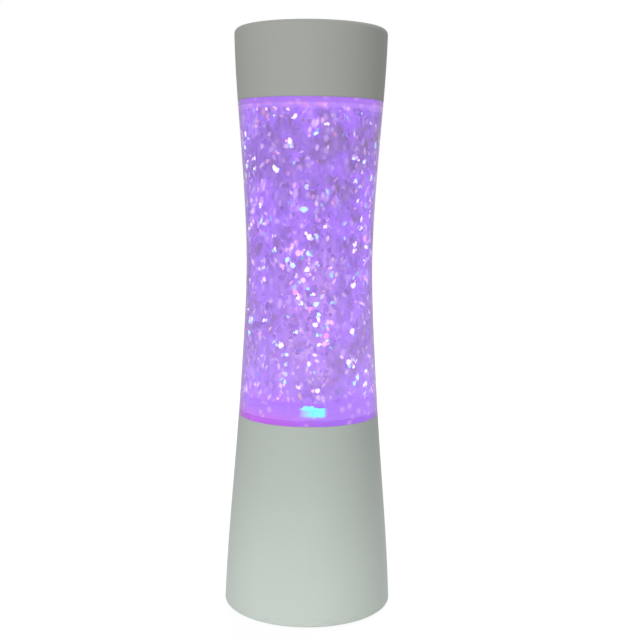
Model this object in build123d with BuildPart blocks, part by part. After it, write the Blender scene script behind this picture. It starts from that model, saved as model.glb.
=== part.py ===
from build123d import *
import os
from math import pi, radians, tan

# Glitter lamp, standing on the XY plane at the origin with +Z up and its front towards -Y.
# A clear waisted bottle of glitter liquid stands between a hollow base and a hollow top cap, and the three
# outsides follow one turned outline. In the base, from the floor up: a plate with a battery compartment and
# a door, a motor hung under a deck, a ring board of light emitters on that deck, and a magnet disc on the
# motor's shaft that turns a bladed wheel through the bottle's floor. All sizes are in millimetres.

# Outline shared by the base, the bottle and the cap
height = 317.0
waist_radius = 34.6
top_radius = 41.2
waist_height = 193.0
base_top = 108.0
cap_height = 38.0
# Each row: share of the way up the flank, share of the flare that the flank has there
lower_flank_shares = ((0.0, 1.0), (0.17, 0.85), (0.46, 0.475), (0.75, 0.155))
upper_flank_shares = ((0.26, 0.15), (0.473, 0.41), (0.70, 0.73), (1.0, 1.0))

# Walls and clearances that several pieces share
overrun = 4.0
shell_wall = 2.2
seam_gap = 0.2
slip_gap = 0.25
press_gap = 0.02
running_gap = 0.06

# Base shell
rim_height = 1.2
rim_fillet = 1.4
ledge_drop = 12.0
ledge_thickness = 2.4
ledge_width = 8.0
deck_post_radius = 3.6
deck_post_count = 3
deck_post_start = 90.0
deck_post_inset = 2.2
plate_post_radius = 4.0
plate_post_height = 18.0
plate_post_angle = 68.0
plate_post_inset = 8.0
post_rib_thickness = 2.0

# Top cap
roof_thickness = 2.2
roof_fillet = 3.0
socket_wall = 1.6
socket_overlap = 5.0
roof_rib_count = 6
roof_rib_thickness = 1.6
roof_rib_height = 7.0

# Bottle, with its spigots, floor, shoulder and neck
bottle_wall = 1.8
bottle_floor = 2.2
foot_height = 3.8
floor_fillet = 2.0
upper_spigot_height = 8.5
shoulder_height = 7.5
neck_radius = 12.5
neck_height = 11.0
neck_ring_width = 1.8
neck_ring_thickness = 1.4
thrust_boss_radius = 3.2
thrust_boss_height = 0.5
seat_ring_thickness = 1.0
seat_ring_width = 3.2

# Screw stopper in the neck, and its washer
stopper_wall = 1.6
stopper_roof = 1.8
stopper_depth = 9.0
grip_count = 18
grip_radius = 0.8
washer_thickness = 1.0

# Liquid, the crowd of glitter flakes that drifts in it, and the bed of settled flakes on the floor
liquid_gap = 0.2
air_height = 4.0
glitter_gap = 0.1
core_depth = 7.2
core_lift = 4.0
core_cover = 0.6
core_foot_fillet = 6.0
core_top_fillet = 1.5
bed_margin = 0.5
bed_height = 7.0
# Each row: share of the way out to the wall, share of the bed's height there
bed_shares = ((0.0, 0.13), (0.55, 0.24), (0.85, 0.46), (1.0, 1.0))

# Bladed wheel in the liquid, its pin, magnets and retainer
pin_radius = 1.0
pin_seat_depth = 1.5
thrust_gap = 0.2
wheel_radius = 13.0
wheel_thickness = 2.8
wheel_hub_radius = 4.8
blade_count = 4
blade_height = 4.6
blade_thickness = 1.3
blade_inner_share = 0.24
blade_middle_shares = (0.62, 0.17)
blade_outer_shares = (0.94, 0.03)
magnet_offset = 8.4
magnet_count = 2
wheel_magnet_radius = 2.8
wheel_magnet_thickness = 1.8
retainer_radius = 2.4
retainer_thickness = 1.2
wheel_clearance = 1.5

# Drive disc and its magnets on the motor's shaft
disc_radius = 14.0
disc_thickness = 3.8
disc_floor_gap = 2.4
disc_hub_radius = 4.0
disc_hub_length = 5.4
drive_magnet_radius = 4.0
drive_magnet_thickness = 2.4

# Ring board with its light emitters, chips and screws
board_edge_gap = 0.5
board_inner_radius = 16.5
board_thickness = 1.6
standoff_height = 1.6
standoff_radius = 2.4
emitter_inset = 5.5
emitter_count = 4
emitter_radius = 2.5
emitter_flange_radius = 2.9
emitter_flange_thickness = 1.0
emitter_barrel = 4.8
driver_chip_length = 5.0
driver_chip_width = 4.0
driver_chip_thickness = 1.6
resistor_length = 3.2
resistor_width = 1.6
resistor_thickness = 0.6
resistor_spacing_angle = 11.0
resistor_count = 3
board_screw_radius = 1.0
board_screw_head_radius = 1.9
board_screw_head_thickness = 1.2
board_screw_length = 4.6

# Deck that carries the board and the motor
deck_thickness = 2.4
deck_drop = 18.6
deck_screw_radius = 1.25
deck_screw_head_radius = 2.5
deck_screw_head_thickness = 1.6
deck_screw_length = 8.0
wire_hole_radius = 1.8

# Motor
can_radius = 10.0
can_flat_width = 15.2
can_length = 25.0
can_edge_fillet = 0.8
bush_radius = 3.0
bush_length = 1.6
end_cap_length = 3.0
end_cap_inset = 0.4
shaft_radius = 1.0
shaft_tail = 20.0
terminal_spacing = 10.0
terminal_width = 2.4
terminal_thickness = 0.5
terminal_length = 5.0

# Cradle that holds the motor up to the deck
cradle_wall = 1.6
cradle_gap = 0.25
cradle_lip = 3.2
cradle_floor = 1.4
ear_length = 6.6
ear_width = 7.0
ear_thickness = 2.4
ear_drop = 6.6
ear_boss_radius = 3.2
cradle_window_width = 9.0
cradle_window_height = 12.0
cradle_screw_radius = 1.25
cradle_screw_head_radius = 2.3
cradle_screw_head_thickness = 1.6
cradle_screw_length = 7.2

# Cells, three side by side along X
cell_radius = 7.25
cell_barrel = 49.2
nub_radius = 2.75
nub_length = 1.3
cell_gap = 0.2
cell_count = 3
cell_lift = 0.5
cell_edge_fillet = 0.6

# Sheet contacts at the ends of the cells
strip_thickness = 0.4
contact_width = 8.0
contact_low = 8.6
contact_high = 17.6
dimple_radius = 2.4
dimple_height = 0.6
dimple_taper = 30.0
spring_reach = 6.0
spring_tip_share = 0.45
tab_width = 2.4
tab_rise = 6.5

# Base plate with the battery compartment
plate_recess = 0.8
plate_margin = 2.0
plate_thickness = 2.2
compartment_wall = 1.6
compartment_side_gap = 0.35
compartment_roof = 1.6
roof_gap = 0.5
divider_thickness = 2.0
divider_height = 3.0
plate_cup_radius = 4.5
plate_cup_height = 4.2
plate_screw_radius = 1.5
plate_screw_head_radius = 2.8
plate_screw_head_thickness = 1.9
plate_screw_length = 11.0
screw_hole_gap = 0.25

# Battery door with its hinge bead, its tongues, its lug, its screw and the nut for it
door_thickness = 2.0
door_gap = 0.3
door_bead_radius = 1.4
door_bead_gap = 0.4
door_corner_radius = 3.0
door_lug_reach = 6.0
door_lug_radius = 5.0
door_lug_thickness = 2.6
door_grip_length = 16.0
door_grip_width = 5.0
door_grip_depth = 0.8
door_grip_setback = 7.0
door_grip_taper = 20.0
tongue_offset = 13.0
tongue_width = 8.0
tongue_stem = 1.6
tongue_reach = 4.0
tongue_thickness = 1.3
tongue_gap = 0.5
tongue_slot_gap = 1.0
tongue_slot_height = 4.4
door_rib_thickness = 1.2
door_rib_height = 2.4
door_rib_length = 38.0
door_boss_wall = 1.6
door_boss_floor = 0.75
door_boss_lip = 0.6
door_boss_gap = 0.25
door_nut_width = 5.0
door_nut_thickness = 1.6
door_nut_corner = 0.6
door_nut_gap = 0.1
door_screw_radius = 1.2
door_screw_head_radius = 2.3
door_screw_head_thickness = 1.4
door_screw_recess = 1.6
door_screw_tail = 0.15
door_screw_gap = 0.1
door_screw_play = 0.4
slot_width = 0.8

# Slide switch under the base
switch_offset = 33.3
switch_length = 11.0
switch_width = 6.0
switch_height = 5.6
switch_ear_length = 3.0
switch_ear_thickness = 0.8
switch_travel = 4.0
slider_length = 5.0
slider_width = 3.2
slider_height = 1.7
slider_gap = 0.2
knob_length = 3.4
knob_width = 2.6
knob_setback = 0.8
knob_groove_depth = 0.5
knob_groove_count = 3
pocket_length = 17.0
pocket_width = 8.4
pocket_depth = 2.6
pocket_wall = 1.6
switch_pin_radius = 0.5
switch_pin_length = 3.0
switch_pin_spacing = 5.0
stake_radius = 0.8
stake_head = 0.5

# Rubber feet
foot_radius = 4.2
foot_recess = 0.6
foot_angle = 45.0
foot_count = 4
foot_margin = 1.2
foot_fillet = 0.5

# Leads
lead_radius = 0.7
lead_bend_share = 0.45
motor_lead_out = 24.0
supply_lead_out = 24.5
supply_lead_side = 5.0
return_lead_out = 23.5
return_lead_side = 8.0
motor_lead_middle = [(5.0, 0, 40.0), (13.0, 0, 34.0), (22.0, 0, 44.0), (24.0, 0, 62.0)]
battery_lead_middle = [(28.95, -14.7, 33.0), (22.0, -24.5, 38.0), (11.0, -31.5, 35.5), (2.5, -33.3, 27.0)]
supply_lead_middle = [(-2.5, -33.3, 28.0), (-3.5, -30.5, 44.0), (-5.5, -26.0, 60.0), (-5.0, -24.5, 74.0)]
return_lead_middle = [(-28.5, 14.7, 36.0), (-24.0, 19.5, 50.0), (-14.0, 23.0, 63.0), (-8.0, 23.5, 75.0)]


# Places of the plate, the cells and their compartment, and the radius that the base needs round them
plate_bottom = rim_height + plate_recess
plate_top = plate_bottom + plate_thickness
cell_pitch = 2 * cell_radius + cell_gap
cell_bottom = plate_bottom + door_thickness + cell_lift
cell_axis = cell_bottom + cell_radius
plate_contact_depth = strip_thickness + dimple_height
compartment_length = cell_barrel + nub_length + plate_contact_depth + spring_reach
compartment_left = -compartment_length / 2 + strip_thickness
compartment_right = compartment_left + compartment_length
compartment_half_width = cell_pitch * (cell_count - 1) / 2 + cell_radius + compartment_side_gap
compartment_top = cell_bottom + 2 * cell_radius + roof_gap
lug_x = compartment_right + door_lug_reach
lug_opening = door_lug_radius + door_gap
base_radius = lug_x + lug_opening + door_boss_wall + plate_margin + slip_gap + shell_wall
cap_bottom = height - cap_height


def outline_points(inset):
    """Points of the shared outline, moved in towards the axis by inset, from the floor to the top."""
    lower = [
        (waist_radius + flare * (base_radius - waist_radius) - inset, rise * waist_height)
        for rise, flare in lower_flank_shares
    ]
    waist = [(waist_radius - inset, waist_height)]
    upper = [
        (
            waist_radius + flare * (top_radius - waist_radius) - inset,
            waist_height + rise * (height - waist_height),
        )
        for rise, flare in upper_flank_shares
    ]
    return lower + waist + upper


outline = Spline(*outline_points(0))


def outline_radius(level):
    """Radius of the shared outline at a height, found by halving."""
    low, high = 0.0, 1.0
    for _ in range(40):
        middle = (low + high) / 2
        if (outline @ middle).Y < level:
            low = middle
        else:
            high = middle
    return (outline @ low).X


def turned_body(inset, low, high):
    """Solid inside the shared outline, moved in by inset, between two heights."""
    points = outline_points(inset)
    first, last = points[0], points[-1]
    with BuildPart() as body:
        with BuildSketch(Plane.XZ):
            with BuildLine():
                Spline(*points)
                Polyline(
                    last,
                    (last[0], height + overrun),
                    (0, height + overrun),
                    (0, -overrun),
                    (first[0], -overrun),
                    first,
                )
            make_face()
        revolve(axis=Axis.Z)
        split(bisect_by=Plane.XY.offset(low), keep=Keep.TOP)
        split(bisect_by=Plane.XY.offset(high), keep=Keep.BOTTOM)
    return body.part


def write(part, name):
    """Labels a finished piece and writes it to its own file."""
    part.label = name
    export_step(part, f"parts/{name}.step")


def pan_screw(radius, length, head_radius, head_thickness):
    """Pan head screw with a cross recess, its head's seat at the origin and its shank along +Z."""
    with BuildPart() as screw:
        with BuildSketch():
            Circle(head_radius)
        extrude(amount=-head_thickness)
        fillet(screw.faces().sort_by(Axis.Z)[0].edges(), head_thickness / 3)
        with BuildSketch(Plane.XY.offset(-head_thickness)):
            Rectangle(head_radius, slot_width / 2)
            Rectangle(slot_width / 2, head_radius)
        extrude(amount=head_thickness / 2, mode=Mode.SUBTRACT)
        with BuildSketch():
            Circle(radius)
        extrude(amount=length)
        chamfer(screw.faces().sort_by(Axis.Z)[-1].edges(), radius / 3)
    return screw.part


def lead(points):
    """Round lead along points, with each bend as large as its two runs allow."""
    corners = [Vector(*p) for p in points]
    bends = []
    for before, at, after in zip(corners, corners[1:], corners[2:]):
        inward, outward = at - before, after - at
        turn = radians(inward.get_angle(outward))
        bends.append(lead_bend_share * min(inward.length, outward.length) / tan(turn / 2))
    with BuildPart() as wire:
        with BuildLine():
            route = FilletPolyline(*corners, radius=bends)
        with BuildSketch(Plane(origin=route @ 0, z_dir=route % 0)):
            Circle(lead_radius)
        sweep()
    share = wire.part.volume / (route.length * pi * lead_radius**2)
    print(f"lead: length {route.length:.1f}, volume share {share:.3f}, radii", [round(b, 1) for b in bends])
    return wire.part


os.makedirs("parts", exist_ok=True)

# Heights and radii that follow from the sizes above
ledge_top = base_top - ledge_drop
ledge_bottom = ledge_top - ledge_thickness
foot_bottom = ledge_top + seat_ring_thickness
floor_bottom = foot_bottom + foot_height
floor_top = floor_bottom + bottle_floor
lower_spigot_radius = outline_radius(base_top) - shell_wall - slip_gap
upper_spigot_radius = outline_radius(cap_bottom) - shell_wall - slip_gap
belly_low = base_top + seam_gap
belly_high = cap_bottom - seam_gap
spigot_top = cap_bottom + upper_spigot_height
shoulder_top = spigot_top + shoulder_height
neck_top = shoulder_top + neck_height
ledge_outer_radius = outline_radius(ledge_top) - shell_wall / 2
ledge_inner_radius = outline_radius(ledge_top) - shell_wall - ledge_width
deck_top = base_top - deck_drop - deck_thickness
deck_bottom = deck_top - deck_thickness
deck_radius = outline_radius(deck_top) - shell_wall - 2 * slip_gap
deck_screw_circle = deck_radius - deck_post_radius - deck_post_inset + slip_gap
plate_radius = outline_radius(plate_top) - shell_wall - slip_gap
plate_post_bottom = plate_bottom + plate_cup_height
plate_screw_circle = plate_radius - plate_post_inset + slip_gap
foot_reach = plate_radius - foot_radius - foot_margin

# The liquid's space in the bottle, also used for the bottle's own hollow


def shoulder_solid(inset):
    """Domed shoulder between the upper spigot and the neck, drawn in by inset."""
    rim = (upper_spigot_radius - inset, spigot_top - inset)
    throat = (neck_radius - inset, shoulder_top - inset)
    with BuildPart() as dome:
        with BuildSketch(Plane.XZ):
            with BuildLine():
                Spline(rim, throat, tangents=((0, 1), (-1, 0)))
                Polyline(throat, (0, throat[1]), (0, rim[1]), rim)
            make_face()
        revolve(axis=Axis.Z)
    return dome.part


def bottle_hollow(inset):
    """Space inside the bottle's walls, drawn in by a further inset on every side."""
    wall = bottle_wall + inset
    belly = turned_body(wall, belly_low + wall, belly_high - wall)
    dome = shoulder_solid(wall)
    with BuildPart() as hollow:
        with BuildSketch(Plane.XY.offset(floor_top + inset)):
            Circle(lower_spigot_radius - wall)
        extrude(amount=belly_low + wall - floor_top - inset)
        fillet(hollow.faces().sort_by(Axis.Z)[0].edges(), floor_fillet)
        add(belly)
        with BuildSketch(Plane.XY.offset(belly_high - wall)):
            Circle(upper_spigot_radius - wall)
        extrude(amount=spigot_top - wall - belly_high + wall)
        add(dome)
        with BuildSketch(Plane.XY.offset(shoulder_top - wall)):
            Circle(neck_radius - wall)
        extrude(amount=neck_height + wall + overrun)
    return hollow.part


hollow_of_bottle = bottle_hollow(0)
hollow_for_liquid = bottle_hollow(liquid_gap)
dome_of_bottle = shoulder_solid(0)
belly_of_bottle = turned_body(0, belly_low, belly_high)

# Bottle: one clear moulding with a recessed foot, a flush belly, two spigots, a shoulder and a neck
with BuildPart() as bottle:
    with BuildSketch(Plane.XY.offset(foot_bottom)):
        Circle(lower_spigot_radius)
    extrude(amount=belly_low - foot_bottom)
    add(belly_of_bottle)
    with BuildSketch(Plane.XY.offset(belly_high)):
        Circle(upper_spigot_radius)
    extrude(amount=spigot_top - belly_high)
    add(dome_of_bottle)
    with BuildSketch(Plane.XY.offset(shoulder_top)):
        Circle(neck_radius)
    extrude(amount=neck_height)
    with BuildSketch(Plane.XY.offset(shoulder_top)):
        Circle(neck_radius + neck_ring_width)
    extrude(amount=neck_ring_thickness)
    add(hollow_of_bottle, mode=Mode.SUBTRACT)
    with BuildSketch(Plane.XY.offset(floor_top)):
        Circle(thrust_boss_radius)
    extrude(amount=thrust_boss_height)
    with BuildSketch(Plane.XY.offset(foot_bottom)):
        Circle(lower_spigot_radius - bottle_wall)
    extrude(amount=foot_height, mode=Mode.SUBTRACT)
    with BuildSketch(Plane.XY.offset(floor_top + thrust_boss_height)):
        Circle(pin_radius + press_gap)
    extrude(amount=-(pin_seat_depth + thrust_boss_height), mode=Mode.SUBTRACT)
write(bottle.part, "bottle")

# Bladed wheel: magnet pockets below, curved blades above, turning on the pin
wheel_bottom = floor_top + thrust_boss_height + thrust_gap
wheel_top = wheel_bottom + wheel_thickness + blade_height
with BuildPart() as impeller:
    with BuildSketch(Plane.XY.offset(wheel_bottom)):
        Circle(wheel_radius)
    extrude(amount=wheel_thickness)
    chamfer(impeller.edges().filter_by(GeomType.CIRCLE), wheel_thickness / 8)
    with BuildSketch(Plane.XY.offset(wheel_bottom + wheel_thickness)):
        Circle(wheel_hub_radius)
        with PolarLocations(0, blade_count):
            with BuildLine():
                ThreePointArc(
                    (blade_inner_share * wheel_radius, 0),
                    tuple(share * wheel_radius for share in blade_middle_shares),
                    tuple(share * wheel_radius for share in blade_outer_shares),
                )
            trace(line_width=blade_thickness)
    extrude(amount=blade_height)
    with BuildSketch(Plane.XY.offset(wheel_bottom)):
        Circle(pin_radius + running_gap)
    extrude(amount=wheel_thickness + blade_height, mode=Mode.SUBTRACT)
    with BuildSketch(Plane.XY.offset(wheel_bottom)):
        with PolarLocations(magnet_offset, magnet_count):
            Circle(wheel_magnet_radius + press_gap)
    extrude(amount=wheel_magnet_thickness, mode=Mode.SUBTRACT)
write(impeller.part, "impeller")

with BuildPart() as impeller_magnets:
    with BuildSketch(Plane.XY.offset(wheel_bottom)):
        with PolarLocations(magnet_offset, magnet_count):
            Circle(wheel_magnet_radius)
    extrude(amount=wheel_magnet_thickness)
write(impeller_magnets.part, "impeller_magnets")

# Pin pressed into the bottle's floor, and the retainer on its top
pin_bottom = floor_top - pin_seat_depth
retainer_bottom = wheel_top + thrust_gap
pin_top = retainer_bottom + retainer_thickness
with BuildPart() as impeller_pin:
    with BuildSketch(Plane.XY.offset(pin_bottom)):
        Circle(pin_radius)
    extrude(amount=pin_top - pin_bottom)
    chamfer(impeller_pin.faces().sort_by(Axis.Z)[-1].edges(), pin_radius / 4)
write(impeller_pin.part, "impeller_pin")

with BuildPart() as pin_retainer:
    with BuildSketch(Plane.XY.offset(retainer_bottom)):
        Circle(retainer_radius)
        Circle(pin_radius + press_gap, mode=Mode.SUBTRACT)
    extrude(amount=retainer_thickness)
    fillet(pin_retainer.faces().sort_by(Axis.Z)[-1].outer_wire().edges(), retainer_thickness / 3)
write(pin_retainer.part, "pin_retainer")

# Crowd of glitter flakes that drifts in the liquid, as one solid
core_bottom = pin_top + wheel_clearance + core_lift
core_top = spigot_top - air_height - core_cover


def crowd_of_flakes(growth):
    """Solid round the drifting flakes, from over the wheel to under the liquid's level, grown all round."""
    with BuildPart() as crowd:
        add(turned_body(core_depth - growth, core_bottom - growth, core_top + growth))
        fillet(crowd.faces().sort_by(Axis.Z)[0].edges(), core_foot_fillet)
        fillet(crowd.faces().sort_by(Axis.Z)[-1].edges(), core_top_fillet)
    return crowd.part


space_for_core = crowd_of_flakes(glitter_gap)
with BuildPart() as glitter_core:
    add(crowd_of_flakes(0))
write(glitter_core.part, "glitter_core")

# Bed of settled flakes: a low ring round the wheel that climbs the wall
bed_inner_radius = wheel_radius + wheel_clearance + bed_margin
bed_width = lower_spigot_radius - bottle_wall - liquid_gap - bed_inner_radius


def ring_of_flakes(growth):
    """Solid round the settled flakes, grown inwards and upwards, that runs on through floor and wall."""
    slope = [
        (bed_inner_radius - growth + out * bed_width, floor_top + rise * bed_height + growth)
        for out, rise in bed_shares
    ]
    first, last = slope[0], slope[-1]
    with BuildPart() as ring:
        with BuildSketch(Plane.XZ):
            with BuildLine():
                Spline(*slope)
                Polyline(
                    last,
                    (last[0] + overrun, last[1]),
                    (last[0] + overrun, floor_top - overrun),
                    (first[0], floor_top - overrun),
                    first,
                )
            make_face()
        revolve(axis=Axis.Z)
    return ring.part


space_for_bed = ring_of_flakes(glitter_gap)
ring_of_bed = ring_of_flakes(0)
with BuildPart() as settled_glitter:
    add(hollow_for_liquid)
    add(ring_of_bed, mode=Mode.INTERSECT)
write(settled_glitter.part, "settled_glitter")

# Glitter liquid: the bottle's hollow up to the fill level, less the flakes and the wheel's space
with BuildPart() as glitter_liquid:
    add(hollow_for_liquid)
    split(bisect_by=Plane.XY.offset(spigot_top - air_height), keep=Keep.BOTTOM)
    with BuildSketch(Plane.XY.offset(floor_top)):
        Circle(wheel_radius + wheel_clearance)
    extrude(amount=pin_top + wheel_clearance - floor_top, mode=Mode.SUBTRACT)
    add(space_for_core, mode=Mode.SUBTRACT)
    add(space_for_bed, mode=Mode.SUBTRACT)
write(glitter_liquid.part, "glitter_liquid")

# Stopper: a ribbed screw cap on the neck, with a soft washer under its roof
stopper_inner_radius = neck_radius + slip_gap
stopper_outer_radius = stopper_inner_radius + stopper_wall
stopper_top = neck_top + washer_thickness + stopper_roof
with BuildPart() as bottle_stopper:
    with BuildSketch(Plane.XY.offset(stopper_top)):
        Circle(stopper_outer_radius)
        with PolarLocations(stopper_outer_radius, grip_count):
            Circle(grip_radius)
    extrude(amount=-(stopper_depth + stopper_roof))
    with BuildSketch(Plane.XY.offset(stopper_top - stopper_roof)):
        Circle(stopper_inner_radius)
    extrude(amount=-(stopper_depth + overrun), mode=Mode.SUBTRACT)
write(bottle_stopper.part, "bottle_stopper")

with BuildPart() as stopper_washer:
    with BuildSketch(Plane.XY.offset(neck_top)):
        Circle(neck_radius)
    extrude(amount=washer_thickness)
write(stopper_washer.part, "stopper_washer")

# Top cap: a closed shell with a socket over the stopper and ribs from it to the wall
roof_bottom = height - roof_thickness
socket_inner_radius = stopper_outer_radius + grip_radius + slip_gap
socket_outer_radius = socket_inner_radius + socket_wall
cap_outside = turned_body(0, cap_bottom, height)
cap_inside = turned_body(shell_wall, cap_bottom - overrun, roof_bottom)
rib_end = outline_radius(roof_bottom - roof_rib_height) - shell_wall / 2
with BuildPart() as top_cap:
    add(cap_outside)
    fillet(top_cap.faces().sort_by(Axis.Z)[-1].edges(), roof_fillet)
    add(cap_inside, mode=Mode.SUBTRACT)
    with BuildSketch(Plane.XY.offset(roof_bottom)):
        Circle(socket_outer_radius)
        Circle(socket_inner_radius, mode=Mode.SUBTRACT)
    extrude(amount=stopper_top - socket_overlap - roof_bottom)
    with BuildSketch(Plane.XY.offset(roof_bottom)):
        with PolarLocations((socket_outer_radius + rib_end) / 2, roof_rib_count):
            Rectangle(rib_end - socket_outer_radius + socket_wall, roof_rib_thickness)
    extrude(amount=-roof_rib_height)
write(top_cap.part, "top_cap")

# Base shell: hollow flank, a ledge for the bottle, posts for the deck and posts for the plate
base_outside = turned_body(0, rim_height, base_top)
base_inside = turned_body(shell_wall, -overrun / 2, base_top + overrun)
plate_post_top = plate_post_bottom + plate_post_height
post_rib_end = outline_radius(plate_post_top) - shell_wall / 2
plate_post_places = [
    PolarLocations(plate_screw_circle, 2, start, 180 - 2 * plate_post_angle, endpoint=True)
    for start in (plate_post_angle, 180 + plate_post_angle)
]
with BuildPart() as base_shell:
    add(base_outside)
    fillet(base_shell.faces().sort_by(Axis.Z)[0].edges(), rim_fillet)
    add(base_inside, mode=Mode.SUBTRACT)
    with BuildSketch(Plane.XY.offset(ledge_bottom)):
        Circle(ledge_outer_radius)
        Circle(ledge_inner_radius, mode=Mode.SUBTRACT)
    extrude(amount=ledge_thickness)
    with BuildSketch(Plane.XY.offset(deck_top)):
        with PolarLocations(deck_screw_circle, deck_post_count, deck_post_start):
            Circle(deck_post_radius)
    extrude(amount=ledge_bottom - deck_top)
    with BuildSketch(Plane.XY.offset(deck_top)):
        with PolarLocations(deck_screw_circle, deck_post_count, deck_post_start):
            Circle(deck_screw_radius + press_gap)
    extrude(amount=deck_screw_length - deck_thickness + slip_gap, mode=Mode.SUBTRACT)
    for places in plate_post_places:
        with BuildSketch(Plane.XY.offset(plate_post_bottom)):
            with places:
                Circle(plate_post_radius)
                Rectangle(
                    post_rib_end - plate_screw_circle, post_rib_thickness, align=(Align.MIN, Align.CENTER)
                )
        extrude(amount=plate_post_height)
        with BuildSketch(Plane.XY.offset(plate_post_bottom)):
            with places:
                Circle(plate_screw_radius + press_gap)
        extrude(amount=plate_screw_length, mode=Mode.SUBTRACT)
write(base_shell.part, "base_shell")

# Soft ring between the ledge and the bottle's foot
with BuildPart() as bottle_seat_ring:
    with BuildSketch(Plane.XY.offset(ledge_top)):
        Circle(lower_spigot_radius)
        Circle(lower_spigot_radius - seat_ring_width, mode=Mode.SUBTRACT)
    extrude(amount=seat_ring_thickness)
write(bottle_seat_ring.part, "bottle_seat_ring")

# Deck: disc with standoffs above, motor bosses below, and holes for the screws, the bush and the leads
board_bottom = deck_top + standoff_height
board_top = board_bottom + board_thickness
board_radius = deck_screw_circle - deck_post_radius - board_edge_gap
board_screw_circle = board_radius - standoff_radius
emitter_reach = board_radius - emitter_inset
can_top = deck_bottom
cradle_half_length = can_radius + cradle_gap + cradle_wall
cradle_half_width = can_flat_width / 2 + cradle_gap + cradle_wall
ear_screw_out = cradle_half_length + ear_length / 2
ear_top = deck_bottom - ear_drop + ear_thickness
with BuildPart() as light_deck:
    with BuildSketch(Plane.XY.offset(deck_bottom)):
        Circle(deck_radius)
    extrude(amount=deck_thickness)
    with BuildSketch(Plane.XY.offset(deck_top)):
        with PolarLocations(board_screw_circle, deck_post_count, deck_post_start):
            Circle(standoff_radius)
    extrude(amount=standoff_height)
    with BuildSketch(Plane.XY.offset(deck_bottom)):
        with Locations((ear_screw_out, 0), (-ear_screw_out, 0)):
            Circle(ear_boss_radius)
    extrude(amount=ear_top - deck_bottom)
    with BuildSketch(Plane.XY.offset(deck_bottom)):
        Circle(bush_radius + slip_gap)
        with PolarLocations(deck_screw_circle, deck_post_count, deck_post_start):
            Circle(deck_screw_radius + screw_hole_gap)
        with Locations(
            (motor_lead_out, 0),
            (-motor_lead_out, 0),
            (-supply_lead_side, -supply_lead_out),
            (-return_lead_side, return_lead_out),
        ):
            Circle(wire_hole_radius)
    extrude(amount=deck_thickness, mode=Mode.SUBTRACT)
    with BuildSketch(Plane.XY.offset(ear_top)):
        with Locations((ear_screw_out, 0), (-ear_screw_out, 0)):
            Circle(cradle_screw_radius + press_gap)
    extrude(amount=cradle_screw_length - ear_thickness + slip_gap, mode=Mode.SUBTRACT)
    with BuildSketch(Plane.XY.offset(board_bottom)):
        with PolarLocations(board_screw_circle, deck_post_count, deck_post_start):
            Circle(board_screw_radius + press_gap)
    extrude(amount=board_thickness - board_screw_length - slip_gap, mode=Mode.SUBTRACT)
write(light_deck.part, "light_deck")

deck_screw = pan_screw(
    deck_screw_radius, deck_screw_length, deck_screw_head_radius, deck_screw_head_thickness
)
with BuildPart() as deck_screws:
    with PolarLocations(deck_screw_circle, deck_post_count, deck_post_start):
        with Locations((0, 0, deck_bottom)):
            add(deck_screw)
write(deck_screws.part, "deck_screws")

# Ring board, its emitters, chips and screws
with BuildPart() as emitter_board:
    with BuildSketch(Plane.XY.offset(board_bottom)):
        Circle(board_radius)
        Circle(board_inner_radius, mode=Mode.SUBTRACT)
        with PolarLocations(board_screw_circle, deck_post_count, deck_post_start):
            Circle(board_screw_radius + screw_hole_gap, mode=Mode.SUBTRACT)
    extrude(amount=board_thickness)
write(emitter_board.part, "emitter_board")

with BuildPart() as light_emitters:
    with BuildSketch(Plane.XY.offset(board_top)):
        with PolarLocations(emitter_reach, emitter_count, 180 / emitter_count):
            Circle(emitter_flange_radius)
    extrude(amount=emitter_flange_thickness)
    with BuildSketch(Plane.XY.offset(board_top)):
        with PolarLocations(emitter_reach, emitter_count, 180 / emitter_count):
            Circle(emitter_radius)
    extrude(amount=emitter_flange_thickness + emitter_barrel)
    with PolarLocations(emitter_reach, emitter_count, 180 / emitter_count):
        with Locations((0, 0, board_top + emitter_flange_thickness + emitter_barrel)):
            Sphere(emitter_radius)
write(light_emitters.part, "light_emitters")

with BuildPart() as board_chips:
    with BuildSketch(Plane.XY.offset(board_top)):
        with Locations((-emitter_reach, 0)):
            Rectangle(driver_chip_width, driver_chip_length)
    extrude(amount=driver_chip_thickness)
    with BuildSketch(Plane.XY.offset(board_top)):
        with PolarLocations(
            emitter_reach,
            resistor_count,
            -resistor_spacing_angle,
            2 * resistor_spacing_angle,
            endpoint=True,
        ):
            Rectangle(resistor_length, resistor_width)
    extrude(amount=resistor_thickness)
write(board_chips.part, "board_chips")

board_screw = pan_screw(
    board_screw_radius, board_screw_length, board_screw_head_radius, board_screw_head_thickness
)
with BuildPart() as board_screws:
    with PolarLocations(board_screw_circle, deck_post_count, deck_post_start):
        with Locations(Location((0, 0, board_top), (180, 0, 0))):
            add(board_screw)
write(board_screws.part, "board_screws")

# Motor: flat-sided can with its bush, end cap, terminals and shaft
can_bottom = can_top - can_length
shaft_bottom = can_top - shaft_tail
disc_top = floor_bottom - disc_floor_gap
disc_bottom = disc_top - disc_thickness
shaft_top = disc_top - disc_thickness / 4
with BuildPart() as motor_can:
    with BuildSketch(Plane.XY.offset(can_bottom)):
        Circle(can_radius)
        Rectangle(2 * can_radius, can_flat_width, mode=Mode.INTERSECT)
    extrude(amount=can_length)
    fillet(motor_can.faces().sort_by(Axis.Z)[-1].edges(), can_edge_fillet)
    with BuildSketch(Plane.XY.offset(can_top)):
        Circle(bush_radius)
    extrude(amount=bush_length)
    with BuildSketch(Plane.XY.offset(can_top + bush_length)):
        Circle(shaft_radius + running_gap)
    extrude(amount=-(bush_length + shaft_tail + slip_gap), mode=Mode.SUBTRACT)
write(motor_can.part, "motor_can")

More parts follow.
